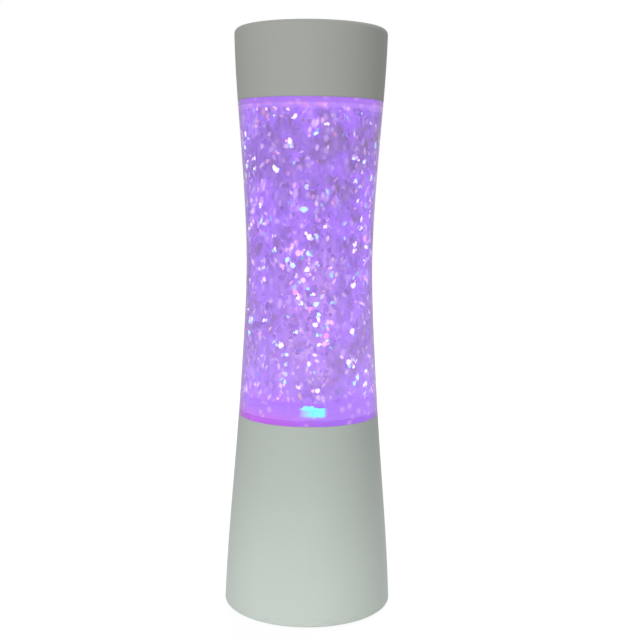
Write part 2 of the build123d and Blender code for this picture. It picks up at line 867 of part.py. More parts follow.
end_cap_bottom = can_bottom - end_cap_length
with BuildPart() as motor_end_cap:
    with BuildSketch(Plane.XY.offset(end_cap_bottom)):
        Circle(can_radius - end_cap_inset)
        Rectangle(2 * can_radius, can_flat_width - 2 * end_cap_inset, mode=Mode.INTERSECT)
    extrude(amount=end_cap_length)
write(motor_end_cap.part, "motor_end_cap")

with BuildPart() as motor_terminals:
    with BuildSketch(Plane.XY.offset(end_cap_bottom)):
        with GridLocations(terminal_spacing, 0, 2, 1):
            Rectangle(terminal_thickness, terminal_width)
    extrude(amount=-terminal_length)
write(motor_terminals.part, "motor_terminals")

with BuildPart() as motor_shaft:
    with BuildSketch(Plane.XY.offset(shaft_bottom)):
        Circle(shaft_radius)
    extrude(amount=shaft_top - shaft_bottom)
    chamfer(motor_shaft.faces().sort_by(Axis.Z)[-1].edges(), shaft_radius / 4)
write(motor_shaft.part, "motor_shaft")

# Drive disc: two magnet pockets open towards the bottle's floor, and a hub on the shaft
with BuildPart() as drive_disc:
    with BuildSketch(Plane.XY.offset(disc_bottom)):
        Circle(disc_radius)
    extrude(amount=disc_thickness)
    fillet(drive_disc.edges().filter_by(GeomType.CIRCLE), disc_thickness / 6)
    with BuildSketch(Plane.XY.offset(disc_bottom)):
        Circle(disc_hub_radius)
    extrude(amount=-disc_hub_length)
    with BuildSketch(Plane.XY.offset(disc_bottom - disc_hub_length)):
        Circle(shaft_radius + press_gap)
    extrude(amount=shaft_top - disc_bottom + disc_hub_length + press_gap, mode=Mode.SUBTRACT)
    with BuildSketch(Plane.XY.offset(disc_top)):
        with PolarLocations(magnet_offset, magnet_count):
            Circle(drive_magnet_radius + press_gap)
    extrude(amount=-drive_magnet_thickness, mode=Mode.SUBTRACT)
write(drive_disc.part, "drive_disc")

with BuildPart() as drive_magnets:
    with BuildSketch(Plane.XY.offset(disc_top)):
        with PolarLocations(magnet_offset, magnet_count):
            Circle(drive_magnet_radius)
    extrude(amount=-drive_magnet_thickness)
write(drive_magnets.part, "drive_magnets")

# Motor cradle: a cup round the can with a lip below, side windows, and two screwed ears
cradle_bottom = end_cap_bottom - slip_gap - cradle_floor
with BuildPart() as motor_cradle:
    with BuildSketch(Plane.XY.offset(cradle_bottom)):
        RectangleRounded(2 * cradle_half_length, 2 * cradle_half_width, cradle_lip)
    extrude(amount=can_top - cradle_bottom)
    with BuildSketch(Plane.XY.offset(cradle_bottom + cradle_floor)):
        Circle(can_radius + cradle_gap)
        Rectangle(2 * cradle_half_length, can_flat_width + 2 * cradle_gap, mode=Mode.INTERSECT)
    extrude(amount=can_length + end_cap_length + slip_gap, mode=Mode.SUBTRACT)
    with BuildSketch(Plane.XY.offset(cradle_bottom)):
        Rectangle(2 * (can_radius - cradle_lip), can_flat_width - 2 * cradle_lip)
    extrude(amount=cradle_floor, mode=Mode.SUBTRACT)
    with BuildSketch(Plane.XY.offset(ear_top - ear_thickness)):
        with Locations((cradle_half_length - cradle_wall / 2, 0)):
            Rectangle(ear_length + cradle_wall / 2, ear_width, align=(Align.MIN, Align.CENTER))
        with Locations((cradle_wall / 2 - cradle_half_length, 0)):
            Rectangle(ear_length + cradle_wall / 2, ear_width, align=(Align.MAX, Align.CENTER))
    extrude(amount=ear_thickness)
    with BuildSketch(Plane.XY.offset(ear_top)):
        with Locations((ear_screw_out, 0), (-ear_screw_out, 0)):
            Circle(cradle_screw_radius + screw_hole_gap)
    extrude(amount=-ear_thickness, mode=Mode.SUBTRACT)
    with BuildSketch(Plane.XZ.offset(-cradle_half_width)):
        with Locations((0, can_bottom + can_length / 2)):
            RectangleRounded(cradle_window_width, cradle_window_height, cradle_window_width / 4)
    extrude(amount=2 * cradle_half_width, mode=Mode.SUBTRACT)
write(motor_cradle.part, "motor_cradle")

cradle_screw = pan_screw(
    cradle_screw_radius, cradle_screw_length, cradle_screw_head_radius, cradle_screw_head_thickness
)
with BuildPart() as cradle_screws:
    with Locations((ear_screw_out, 0, ear_top - ear_thickness), (-ear_screw_out, 0, ear_top - ear_thickness)):
        add(cradle_screw)
write(cradle_screws.part, "cradle_screws")

# Places of the rows of cells across the compartment
row_places = [(row - (cell_count - 1) / 2) * cell_pitch for row in range(cell_count)]
# The nub points to +X in the first and third rows and to -X in the middle one
nub_signs = [1 if row % 2 == 0 else -1 for row in range(cell_count)]

# One cell along X, its nub's tip at the origin and its body towards -X
with BuildPart() as cell:
    with BuildSketch(Plane.YZ.offset(-nub_length)):
        Circle(cell_radius)
    extrude(amount=-cell_barrel)
    fillet(cell.edges().filter_by(GeomType.CIRCLE), cell_edge_fillet)
    with BuildSketch(Plane.YZ.offset(-nub_length)):
        Circle(nub_radius)
    extrude(amount=nub_length)

with BuildPart() as battery_cells:
    for place, sign in zip(row_places, nub_signs):
        nub_wall = compartment_right if sign > 0 else compartment_left
        nub_tip = nub_wall - sign * plate_contact_depth
        with Locations(Location((nub_tip, place, cell_axis), (0, 0, 90 - sign * 90))):
            add(cell.part)
write(battery_cells.part, "battery_cells")

tab_top = contact_high + tab_rise


def end_contact(wall, sign, leaf_rows, nub_rows, tab_rows=()):
    """Sheet contact that stands on an end wall and reaches towards sign, at the given rows' places."""
    rows = leaf_rows + nub_rows
    first, last = min(rows) - contact_width / 2, max(rows) + contact_width / 2
    tip_height = contact_low + spring_tip_share * (contact_high - contact_low)
    strip_middle = wall + sign * strip_thickness / 2
    with BuildPart() as contact:
        with BuildSketch(Plane.YZ.offset(wall)):
            with Locations((first, contact_low)):
                Rectangle(last - first, contact_high - contact_low, align=(Align.MIN, Align.MIN))
            for place in tab_rows:
                with Locations((place, contact_low)):
                    Rectangle(tab_width, tab_top - contact_low, align=(Align.CENTER, Align.MIN))
        extrude(amount=sign * strip_thickness)
        for place in nub_rows:
            with BuildSketch(Plane.YZ.offset(wall + sign * strip_thickness)):
                with Locations((place, cell_axis)):
                    Circle(dimple_radius)
            extrude(amount=sign * dimple_height, taper=dimple_taper)
        for place in leaf_rows:
            with BuildSketch(Plane.XZ.offset(-place)):
                with BuildLine():
                    FilletPolyline(
                        (strip_middle, contact_high - strip_thickness),
                        (wall + sign * (spring_reach - strip_thickness / 2), tip_height),
                        (wall + sign * spring_reach / 2, contact_low),
                        radius=2 * strip_thickness,
                    )
                trace(line_width=strip_thickness)
            extrude(amount=contact_width / 2, both=True)
    return contact.part


# Supply contact at the first row's nub, return contact at the last row's flat end
write(end_contact(compartment_right, -1, [], row_places[:1], row_places[:1]), "positive_contact")
write(end_contact(compartment_left, 1, row_places[-1:], [], row_places[-1:]), "negative_contact")

# Bridges join the flat end of one cell to the nub of the next
left_bridge = end_contact(compartment_left, 1, row_places[:1], row_places[1:2])
right_bridge = end_contact(compartment_right, -1, row_places[1:2], row_places[2:])
with BuildPart() as bridge_contacts:
    add(left_bridge)
    add(right_bridge)
write(bridge_contacts.part, "bridge_contacts")

# Battery door: a panel with a bead along its hinge edge, two tongues, ribs, a finger grip and a screwed lug
hinge_x = compartment_left - compartment_wall
hinge_z = plate_bottom + door_bead_radius
door_right = compartment_right
door_half_width = compartment_half_width - door_gap
lug_top = plate_bottom + door_lug_thickness
door_inside = plate_bottom + door_thickness
tongue_bottom = plate_top + tongue_gap
with BuildPart() as battery_door:
    with BuildSketch(Plane.XZ):
        with Locations((hinge_x, hinge_z)):
            Circle(door_bead_radius)
        with Locations((hinge_x, plate_bottom)):
            Rectangle(door_right - hinge_x, door_thickness, align=(Align.MIN, Align.MIN))
    extrude(amount=door_half_width, both=True)
    fillet(battery_door.edges().filter_by(Axis.Z).sort_by(Axis.X)[-2:], door_corner_radius)
    with BuildSketch(Plane.XY.offset(plate_bottom)):
        with Locations((lug_x, 0)):
            Circle(door_lug_radius)
            Rectangle(door_lug_reach + door_lug_radius, 2 * door_lug_radius, align=(Align.MAX, Align.CENTER))
    extrude(amount=door_lug_thickness)
    with BuildSketch(Plane.XY.offset(plate_bottom)):
        with Locations((lug_x, 0)):
            Circle(door_screw_radius + door_screw_gap)
    extrude(amount=door_lug_thickness, mode=Mode.SUBTRACT)
    with BuildSketch(Plane.XY.offset(plate_bottom)):
        with Locations((lug_x, 0)):
            Circle(door_screw_head_radius + screw_hole_gap)
    extrude(amount=door_screw_recess, mode=Mode.SUBTRACT)
    with BuildSketch(Plane.XZ):
        with BuildLine():
            Polyline(
                (hinge_x, hinge_z),
                (hinge_x, tongue_bottom),
                (hinge_x - tongue_reach, tongue_bottom),
                (hinge_x - tongue_reach, tongue_bottom + tongue_thickness),
                (hinge_x + tongue_stem, tongue_bottom + tongue_thickness),
                (hinge_x + tongue_stem, hinge_z),
                close=True,
            )
        make_face()
    tongue = extrude(amount=tongue_width / 2, both=True, mode=Mode.PRIVATE)
    with Locations((0, tongue_offset, 0), (0, -tongue_offset, 0)):
        add(tongue)
    with BuildSketch(Plane.XY.offset(door_inside)):
        with GridLocations(0, cell_pitch, 1, cell_count - 1):
            Rectangle(door_rib_length, door_rib_thickness)
    extrude(amount=door_rib_height)
    with BuildSketch(Plane.XY.offset(plate_bottom)):
        with Locations((door_right - door_grip_setback, 0)):
            SlotOverall(door_grip_length, door_grip_width, rotation=90)
    extrude(amount=door_grip_depth, mode=Mode.SUBTRACT, taper=door_grip_taper)
write(battery_door.part, "battery_door")

# Screw in the lug, and the square nut that it holds in the plate's boss
door_screw_seat = plate_bottom + door_screw_recess
nut_bottom = lug_top + door_boss_gap + door_boss_floor
nut_top = nut_bottom + door_nut_thickness
turned_screw = pan_screw(
    door_screw_radius,
    nut_top + door_screw_tail - door_screw_seat,
    door_screw_head_radius,
    door_screw_head_thickness,
)
with BuildPart() as door_screw:
    with Locations((lug_x, 0, door_screw_seat)):
        add(turned_screw)
write(door_screw.part, "door_screw")

with BuildPart() as door_nut:
    with BuildSketch(Plane.XY.offset(nut_bottom)):
        with Locations((lug_x, 0)):
            Rectangle(door_nut_width, door_nut_width)
    extrude(amount=door_nut_thickness)
    chamfer(door_nut.edges().filter_by(Axis.Z), door_nut_corner)
    with BuildSketch(Plane.XY.offset(nut_bottom)):
        with Locations((lug_x, 0)):
            Circle(door_screw_radius + door_screw_gap)
    extrude(amount=door_nut_thickness, mode=Mode.SUBTRACT)
write(door_nut.part, "door_nut")

# Base plate: one moulding with the compartment, screw cups, the door's boss, and the switch's pocket
pocket_floor = plate_bottom + pocket_depth
switch_bottom = pocket_floor + pocket_wall
roof_top = compartment_top + compartment_roof
door_boss_bottom = lug_top + door_boss_gap
door_opening_left = hinge_x - door_bead_radius - door_bead_gap
door_opening_right = door_right + door_gap
switch_half_slot = knob_length / 2 + switch_travel / 2 + slider_gap
ear_pin_out = switch_length / 2 + switch_ear_length / 2
with BuildPart() as base_plate:
    with BuildSketch(Plane.XY.offset(plate_bottom)):
        Circle(plate_radius)
    extrude(amount=plate_thickness)
    for places in plate_post_places:
        with BuildSketch(Plane.XY.offset(plate_bottom)):
            with places:
                Circle(plate_cup_radius)
        extrude(amount=plate_cup_height)
    with BuildSketch(Plane.XY.offset(plate_bottom)):
        with Locations((lug_x, 0)):
            Circle(lug_opening + door_boss_wall)
    extrude(amount=nut_top + door_boss_lip - plate_bottom)
    with BuildSketch(Plane.XY.offset(plate_bottom)):
        with Locations((0, -switch_offset)):
            Rectangle(pocket_length + 2 * pocket_wall, pocket_width + 2 * pocket_wall)
    extrude(amount=pocket_depth + pocket_wall)
    with BuildSketch(Plane.XY.offset(plate_bottom)):
        with Locations((compartment_left - compartment_wall, 0)):
            Rectangle(
                compartment_length + 2 * compartment_wall,
                2 * (compartment_half_width + compartment_wall),
                align=(Align.MIN, Align.CENTER),
            )
    extrude(amount=roof_top - plate_bottom)
    with BuildSketch(Plane.XY.offset(plate_bottom)):
        with Locations((compartment_left, 0)):
            Rectangle(compartment_length, 2 * compartment_half_width, align=(Align.MIN, Align.CENTER))
    extrude(amount=compartment_top - plate_bottom, mode=Mode.SUBTRACT)
    with BuildSketch(Plane.XY.offset(compartment_top)):
        with GridLocations(0, cell_pitch, 1, cell_count - 1):
            Rectangle(door_rib_length, divider_thickness)
    extrude(amount=-divider_height)
    # The door's opening, the round seat for its bead, and the lug's opening
    with BuildSketch(Plane.XY.offset(plate_bottom)):
        with Locations((door_opening_left, 0)):
            Rectangle(
                door_opening_right - door_opening_left,
                2 * (door_half_width + door_gap),
                align=(Align.MIN, Align.CENTER),
            )
    extrude(amount=door_thickness + door_gap, mode=Mode.SUBTRACT)
    with BuildSketch(Plane.XZ):
        with Locations((hinge_x, hinge_z)):
            Circle(door_bead_radius + door_bead_gap)
    extrude(amount=door_half_width + door_gap, both=True, mode=Mode.SUBTRACT)
    with BuildSketch(Plane.XY.offset(plate_bottom)):
        with Locations((lug_x, 0)):
            Circle(lug_opening)
            Rectangle(door_lug_reach + lug_opening, 2 * lug_opening, align=(Align.MAX, Align.CENTER))
    extrude(amount=door_lug_thickness + door_boss_gap, mode=Mode.SUBTRACT)
    # Notches in the hinge side's wall, where the tongues reach in and swing
    with BuildSketch(Plane.XY.offset(plate_bottom)):
        with Locations((hinge_x, tongue_offset), (hinge_x, -tongue_offset)):
            Rectangle(2 * compartment_wall + tongue_slot_gap, tongue_width + 2 * tongue_slot_gap)
    extrude(amount=plate_thickness + tongue_slot_height, mode=Mode.SUBTRACT)
    with BuildSketch(Plane.XY.offset(door_boss_bottom)):
        with Locations((lug_x, 0)):
            Circle(door_screw_radius + door_screw_play)
    extrude(amount=door_boss_floor, mode=Mode.SUBTRACT)
    with BuildSketch(Plane.XY.offset(nut_bottom)):
        with Locations((lug_x, 0)):
            Rectangle(door_nut_width + 2 * door_nut_gap, door_nut_width + 2 * door_nut_gap)
    extrude(amount=door_nut_thickness + door_boss_lip, mode=Mode.SUBTRACT)
    for places in plate_post_places:
        with BuildSketch(Plane.XY.offset(plate_bottom)):
            with places:
                Circle(plate_screw_head_radius + screw_hole_gap)
        extrude(amount=plate_thickness, mode=Mode.SUBTRACT)
        with BuildSketch(Plane.XY.offset(plate_bottom)):
            with places:
                Circle(plate_screw_radius + screw_hole_gap)
        extrude(amount=plate_cup_height, mode=Mode.SUBTRACT)
    with BuildSketch(Plane.XY.offset(plate_bottom)):
        with PolarLocations(foot_reach, foot_count, foot_angle):
            Circle(foot_radius)
    extrude(amount=foot_recess, mode=Mode.SUBTRACT)
    with BuildSketch(Plane.XY.offset(plate_bottom)):
        with Locations((0, -switch_offset)):
            RectangleRounded(pocket_length, pocket_width, pocket_width / 4)
    extrude(amount=pocket_depth, mode=Mode.SUBTRACT)
    with BuildSketch(Plane.XY.offset(pocket_floor)):
        with Locations((0, -switch_offset)):
            Rectangle(2 * switch_half_slot, knob_width + 2 * slider_gap)
    extrude(amount=pocket_wall, mode=Mode.SUBTRACT)
    # Stakes that hold the switch's ears
    with BuildSketch(Plane.XY.offset(switch_bottom)):
        with Locations((ear_pin_out, -switch_offset), (-ear_pin_out, -switch_offset)):
            Circle(stake_radius)
    extrude(amount=switch_ear_thickness + stake_head)
    # Slots for the solder tabs
    with BuildSketch(Plane.XY.offset(compartment_top)):
        with Locations((compartment_right, row_places[0])):
            Rectangle(strip_thickness + slip_gap, tab_width + 2 * slip_gap, align=(Align.MAX, Align.CENTER))
        with Locations((compartment_left, row_places[-1])):
            Rectangle(strip_thickness + slip_gap, tab_width + 2 * slip_gap, align=(Align.MIN, Align.CENTER))
    extrude(amount=compartment_roof, mode=Mode.SUBTRACT)
write(base_plate.part, "base_plate")

plate_screw = pan_screw(
    plate_screw_radius, plate_screw_length, plate_screw_head_radius, plate_screw_head_thickness
)
with BuildPart() as plate_screws:
    for places in plate_post_places:
        with places:
            with Locations((0, 0, plate_top)):
                add(plate_screw)
write(plate_screws.part, "plate_screws")

# Feet pressed into shallow recesses of the plate
with BuildPart() as rubber_feet:
    with BuildSketch():
        with PolarLocations(foot_reach, foot_count, foot_angle):
            Circle(foot_radius)
    extrude(amount=plate_bottom + foot_recess)
    fillet(rubber_feet.edges().group_by(Axis.Z)[0], foot_fillet)
write(rubber_feet.part, "rubber_feet")

# Slide switch: a housing with ears and pins over a slot, and a slider with a grooved knob
with BuildPart() as switch_housing:
    with BuildSketch(Plane.XY.offset(switch_bottom)):
        with Locations((0, -switch_offset)):
            Rectangle(switch_length + 2 * switch_ear_length, switch_width)
    extrude(amount=switch_ear_thickness)
    with BuildSketch(Plane.XY.offset(switch_bottom)):
        with Locations((0, -switch_offset)):
            Rectangle(switch_length, switch_width)
    extrude(amount=switch_height)
    with BuildSketch(Plane.XY.offset(switch_bottom)):
        with Locations((0, -switch_offset)):
            Rectangle(slider_length + switch_travel + 2 * slider_gap, slider_width + 2 * slider_gap)
    extrude(amount=slider_height + 2 * slider_gap, mode=Mode.SUBTRACT)
    with BuildSketch(Plane.XY.offset(switch_bottom)):
        with Locations((ear_pin_out, -switch_offset), (-ear_pin_out, -switch_offset)):
            Circle(stake_radius + slip_gap)
    extrude(amount=switch_ear_thickness, mode=Mode.SUBTRACT)
    with BuildSketch(Plane.XY.offset(switch_bottom + switch_height)):
        with Locations((switch_pin_spacing / 2, -switch_offset), (-switch_pin_spacing / 2, -switch_offset)):
            Circle(switch_pin_radius)
    extrude(amount=switch_pin_length)
write(switch_housing.part, "switch_housing")

slider_x = switch_travel / 2
with BuildPart() as switch_slider:
    with BuildSketch(Plane.XY.offset(switch_bottom + slider_gap)):
        with Locations((slider_x, -switch_offset)):
            Rectangle(slider_length, slider_width)
    extrude(amount=slider_height)
    with BuildSketch(Plane.XY.offset(switch_bottom + slider_gap)):
        with Locations((slider_x, -switch_offset)):
            Rectangle(knob_length, knob_width)
    extrude(amount=plate_bottom + knob_setback - switch_bottom - slider_gap)
    with BuildSketch(Plane.XY.offset(plate_bottom + knob_setback)):
        with Locations((slider_x, -switch_offset)):
            with GridLocations(knob_length / knob_groove_count, 0, knob_groove_count, 1):
                Rectangle(knob_groove_depth, knob_width)
    extrude(amount=knob_groove_depth, mode=Mode.SUBTRACT)
write(switch_slider.part, "switch_slider")

# Leads, each from its soldered end through its middle points to its other end
switch_pin_top = switch_bottom + switch_height + switch_pin_length
pin_x = switch_pin_spacing / 2
terminal_x = terminal_spacing / 2
terminal_bottom = end_cap_bottom - terminal_length
motor_lead_route = [
    (terminal_x, 0, terminal_bottom),
    *motor_lead_middle,
    (motor_lead_out, 0, board_bottom),
]
right_motor_lead = lead(motor_lead_route)
left_motor_lead = lead([(-x, y, z) for x, y, z in motor_lead_route])
with BuildPart() as motor_leads:
    add(right_motor_lead)
    add(left_motor_lead)
write(motor_leads.part, "motor_leads")

battery_lead_route = [
    (compartment_right - strip_thickness / 2, row_places[0], tab_top),
    *battery_lead_middle,
    (pin_x, -switch_offset, switch_pin_top),
]
write(lead(battery_lead_route), "battery_lead")

supply_lead_route = [
    (-pin_x, -switch_offset, switch_pin_top),
    *supply_lead_middle,
    (-supply_lead_side, -supply_lead_out, board_bottom),
]
write(lead(supply_lead_route), "supply_lead")

return_lead_route = [
    (compartment_left + strip_thickness / 2, row_places[-1], tab_top),
    *return_lead_middle,
    (-return_lead_side, return_lead_out, board_bottom),
]
write(lead(return_lead_route), "return_lead")
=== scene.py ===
import logging
import math
from collections.abc import Mapping, Sequence
from dataclasses import dataclass, field
from enum import Enum
from functools import reduce
from typing import Any

import bpy
import numpy as np
from mathutils import Matrix, Vector

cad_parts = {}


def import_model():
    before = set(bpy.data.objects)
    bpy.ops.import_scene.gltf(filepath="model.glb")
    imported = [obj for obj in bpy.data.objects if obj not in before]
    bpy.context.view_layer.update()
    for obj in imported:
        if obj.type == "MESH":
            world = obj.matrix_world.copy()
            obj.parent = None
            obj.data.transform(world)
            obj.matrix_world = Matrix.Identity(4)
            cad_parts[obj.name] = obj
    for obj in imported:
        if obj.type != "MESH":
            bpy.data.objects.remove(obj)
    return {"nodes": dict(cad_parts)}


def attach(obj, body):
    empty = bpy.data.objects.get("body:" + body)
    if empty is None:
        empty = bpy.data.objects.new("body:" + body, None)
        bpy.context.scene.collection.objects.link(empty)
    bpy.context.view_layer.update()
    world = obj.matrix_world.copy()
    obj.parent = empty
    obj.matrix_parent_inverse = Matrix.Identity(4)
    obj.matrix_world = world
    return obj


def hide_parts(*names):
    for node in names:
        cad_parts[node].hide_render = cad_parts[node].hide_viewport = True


# Glitter lamp dressed for the photograph: clear bottle of glowing violet glitter between a pale base and cap.
# Sizes are in millimetres and become metres where a mesh is made. +Z is up and the front is towards -Y.

MILLIMETRE = 0.001
WHITE = (1.0, 1.0, 1.0, 1.0)
SQUARE = ((0, 0), (1, 0), (1, 1), (0, 1))
log = logging.getLogger("glitter_lamp")

Pair = tuple[float, float]
Colour = tuple[float, float, float]
Stops = tuple[tuple[float, Colour], ...]
SocketValue = Any


class Body(Enum):
    """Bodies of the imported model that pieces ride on."""

    LAMP = "lamp"


class Slot(Enum):
    """Material slots of the record."""

    SHELL = "shell_plastic"
    PLATE = "plate_plastic"
    CLEAR = "clear_plastic"
    FLUID = "glitter_fluid"


class Tint(Enum):
    """Tone along the lit flakes' colour ramp, from 0 to 1."""

    WHITE = 0.08
    PINK = 0.30
    MAGENTA = 0.50
    LILAC = 0.61
    CYAN = 0.72
    ICE = 0.92


# Shapes


@dataclass
class Shape:
    """Points in millimetres, the faces that join them, and named values for each point."""

    points: np.ndarray
    faces: list[list[int]]
    values: dict[str, np.ndarray] = field(default_factory=dict)

    def __add__(self, other: "Shape") -> "Shape":
        """Returns both shapes as one, without joining their surfaces and without their named values."""
        moved = [[index + len(self.points) for index in face] for face in other.faces]
        return Shape(np.concatenate([self.points, other.points]), self.faces + moved)

    def piece(self, name: str, crease: float = 32.0) -> bpy.types.Object:
        """Makes a Blender object at the origin out of the shape.

        Args:
            name: Name of the piece.
            crease: Angle in degrees past which an edge between two faces is shaded as a sharp one.

        Returns:
            The new object, linked to the scene.
        """
        mesh = bpy.data.meshes.new(name)
        mesh.from_pydata((self.points * MILLIMETRE).tolist(), [], self.faces)
        for label, amounts in self.values.items():
            layer = mesh.attributes.new(label, "FLOAT", "POINT")
            layer.data.foreach_set("value", amounts.astype(np.float32))
        mesh.polygons.foreach_set("use_smooth", np.ones(len(mesh.polygons), dtype=bool))
        mesh.set_sharp_from_angle(angle=math.radians(crease))
        mesh.update()
        made = bpy.data.objects.new(name, mesh)
        bpy.context.scene.collection.objects.link(made)
        return made


def even_turns(count: int) -> np.ndarray:
    """Returns a number of angles in radians, evenly spread over one turn."""
    return np.linspace(0, 2 * np.pi, count, endpoint=False)


def round_axis(reach: np.ndarray | float, turn: np.ndarray, height: np.ndarray | float) -> np.ndarray:
    """Returns the points (reach cos turn, reach sin turn, height)."""
    return np.stack([reach * np.cos(turn), reach * np.sin(turn), height + 0 * turn], axis=-1)


def outwards(points: np.ndarray) -> np.ndarray:
    """Returns the level direction away from the axis at each point."""
    return points * [1, 1, 0] / np.hypot(points[:, 0], points[:, 1])[:, None]


def lattice_faces(rows: int, columns: int, ring: bool = False) -> list[list[int]]:
    """Joins a grid of points, whose columns run round a closed turn, with four-sided faces.

    The cell in row i and column j has the corners (i, j), (i, j + 1), (i + 1, j + 1) and (i + 1, j). The
    column after the last is the first one, and with ring set the row after the last is the first row as
    well.

    Args:
        rows: Number of rows.
        columns: Number of columns.
        ring: Whether the last row joins the first.

    Returns:
        The faces as lists of indices.
    """
    row, column = np.meshgrid(np.arange(rows if ring else rows - 1), np.arange(columns), indexing="ij")
    here, above, beside = row * columns, (row + 1) % rows * columns, (column + 1) % columns
    corners = [here + column, here + beside, above + beside, above + column]
    return np.stack(corners, axis=-1).reshape(-1, 4).tolist()


def turned(profile: np.ndarray, segments: int, swell: np.ndarray | None = None) -> Shape:
    """Turns a profile about the Z axis into a closed surface with its faces outwards.

    Point i of the profile at the angle t lies at (r cos t, r sin t, z), where (r, z) is the profile's point
    and r grows by the swell given for (i, t). A profile that starts and ends on the axis gets a pole at each
    end, and any other one is closed into a ring.

    Args:
        profile: Rows of radius and height, upwards on the outside and downwards on the inside.
        segments: Number of steps round the axis.
        swell: Growth of the radius, with a row for each point off the axis and a column for each step.

    Returns:
        The turned shape.
    """
    poles = bool(profile[0, 0] < 1e-6 and profile[-1, 0] < 1e-6)
    rim = profile[1:-1] if poles else profile
    radii = rim[:, :1] + (0 if swell is None else swell) + np.zeros((1, segments))
    points = round_axis(radii, even_turns(segments), rim[:, 1:]).reshape(-1, 3)
    faces = lattice_faces(len(rim), segments, ring=not poles)
    if poles:
        ends = np.array([[0, 0, profile[0, 1]], [0, 0, profile[-1, 1]]])
        low, high = len(points), len(points) + 1
        points = np.concatenate([points, ends])
        here = np.arange(segments)
        after = (here + 1) % segments
        last = (len(rim) - 1) * segments
        faces += np.stack([np.full(segments, low), after, here], axis=-1).tolist()
        faces += np.stack([last + here, last + after, np.full(segments, high)], axis=-1).tolist()
    return Shape(points, faces)


def arc(centre: Pair, reach: Pair | float, start: float, end: float, steps: int = 8) -> np.ndarray:
    """Profile points on an arc: centre plus (reach r times cos a, reach z times sin a).

    Args:
        centre: Radius and height of the arc's centre.
        reach: Half widths along the radius and the height, or one radius for both.
        start: First angle in degrees, 0 outwards and 90 upwards.
        end: Last angle in degrees.
        steps: Number of steps.

    Returns:
        Rows of radius and height.
    """
    angles = np.radians(np.linspace(start, end, steps + 1))[:, None]
    return np.asarray(centre) + np.broadcast_to(reach, 2) * np.hstack([np.cos(angles), np.sin(angles)])


def bars(near: Sequence[float], far: Sequence[float], turns: Sequence[float], edge: float = 0.0) -> Shape:
    """Repeats a straight bar round the axis.

    The bar fills the box between the corners near and far, which are measured outwards, sideways and upwards,
    and copy k is turned by the angle turns k: (x cos a - y sin a, x sin a + y cos a, z).

    Args:
        near: Lowest outward, sideways and upward place.
        far: Highest outward, sideways and upward place.
        turns: Angles of the copies in degrees.
        edge: How far the lower face is drawn in sideways, as draft.

    Returns:
        All the bars as one shape.
    """
    low, high = np.asarray(near, float), np.asarray(far, float)
    corner = np.array([(*place, level) for level in (0, 1) for place in SQUARE])
    box = low + corner * (high - low)
    box[:4, 1] += np.where(corner[:4, 1] == 0, edge, -edge)
    angles = np.radians(np.asarray(turns, float))[:, None]
    x = box[:, 0] * np.cos(angles) - box[:, 1] * np.sin(angles)
    y = box[:, 0] * np.sin(angles) + box[:, 1] * np.cos(angles)
    points = np.stack([x, y, np.broadcast_to(box[:, 2], x.shape)], axis=-1).reshape(-1, 3)
    sides = np.array([[0, 3, 2, 1], [4, 5, 6, 7], [0, 1, 5, 4], [1, 2, 6, 5], [2, 3, 7, 6], [3, 0, 4, 7]])
    faces = (sides[None] + 8 * np.arange(len(angles))[:, None, None]).reshape(-1, 4).tolist()
    return Shape(points, faces)


def moved_round(shape: Shape, reach: float, turns: Sequence[float]) -> Shape:
    """Copies a shape to places on a circle about the axis.

    Args:
        shape: Shape that stands on the axis.
        reach: Radius of the circle.
        turns: Angles of the places in degrees.

    Returns:
        The copies as one shape.
    """
    places = round_axis(reach, np.radians(np.asarray(turns, float)), 0.0)
    points = (shape.points[None] + places[:, None]).reshape(-1, 3)
    count = len(shape.points)
    faces = [[index + count * copy for index in face] for copy in range(len(places)) for face in shape.faces]
    return Shape(points, faces)


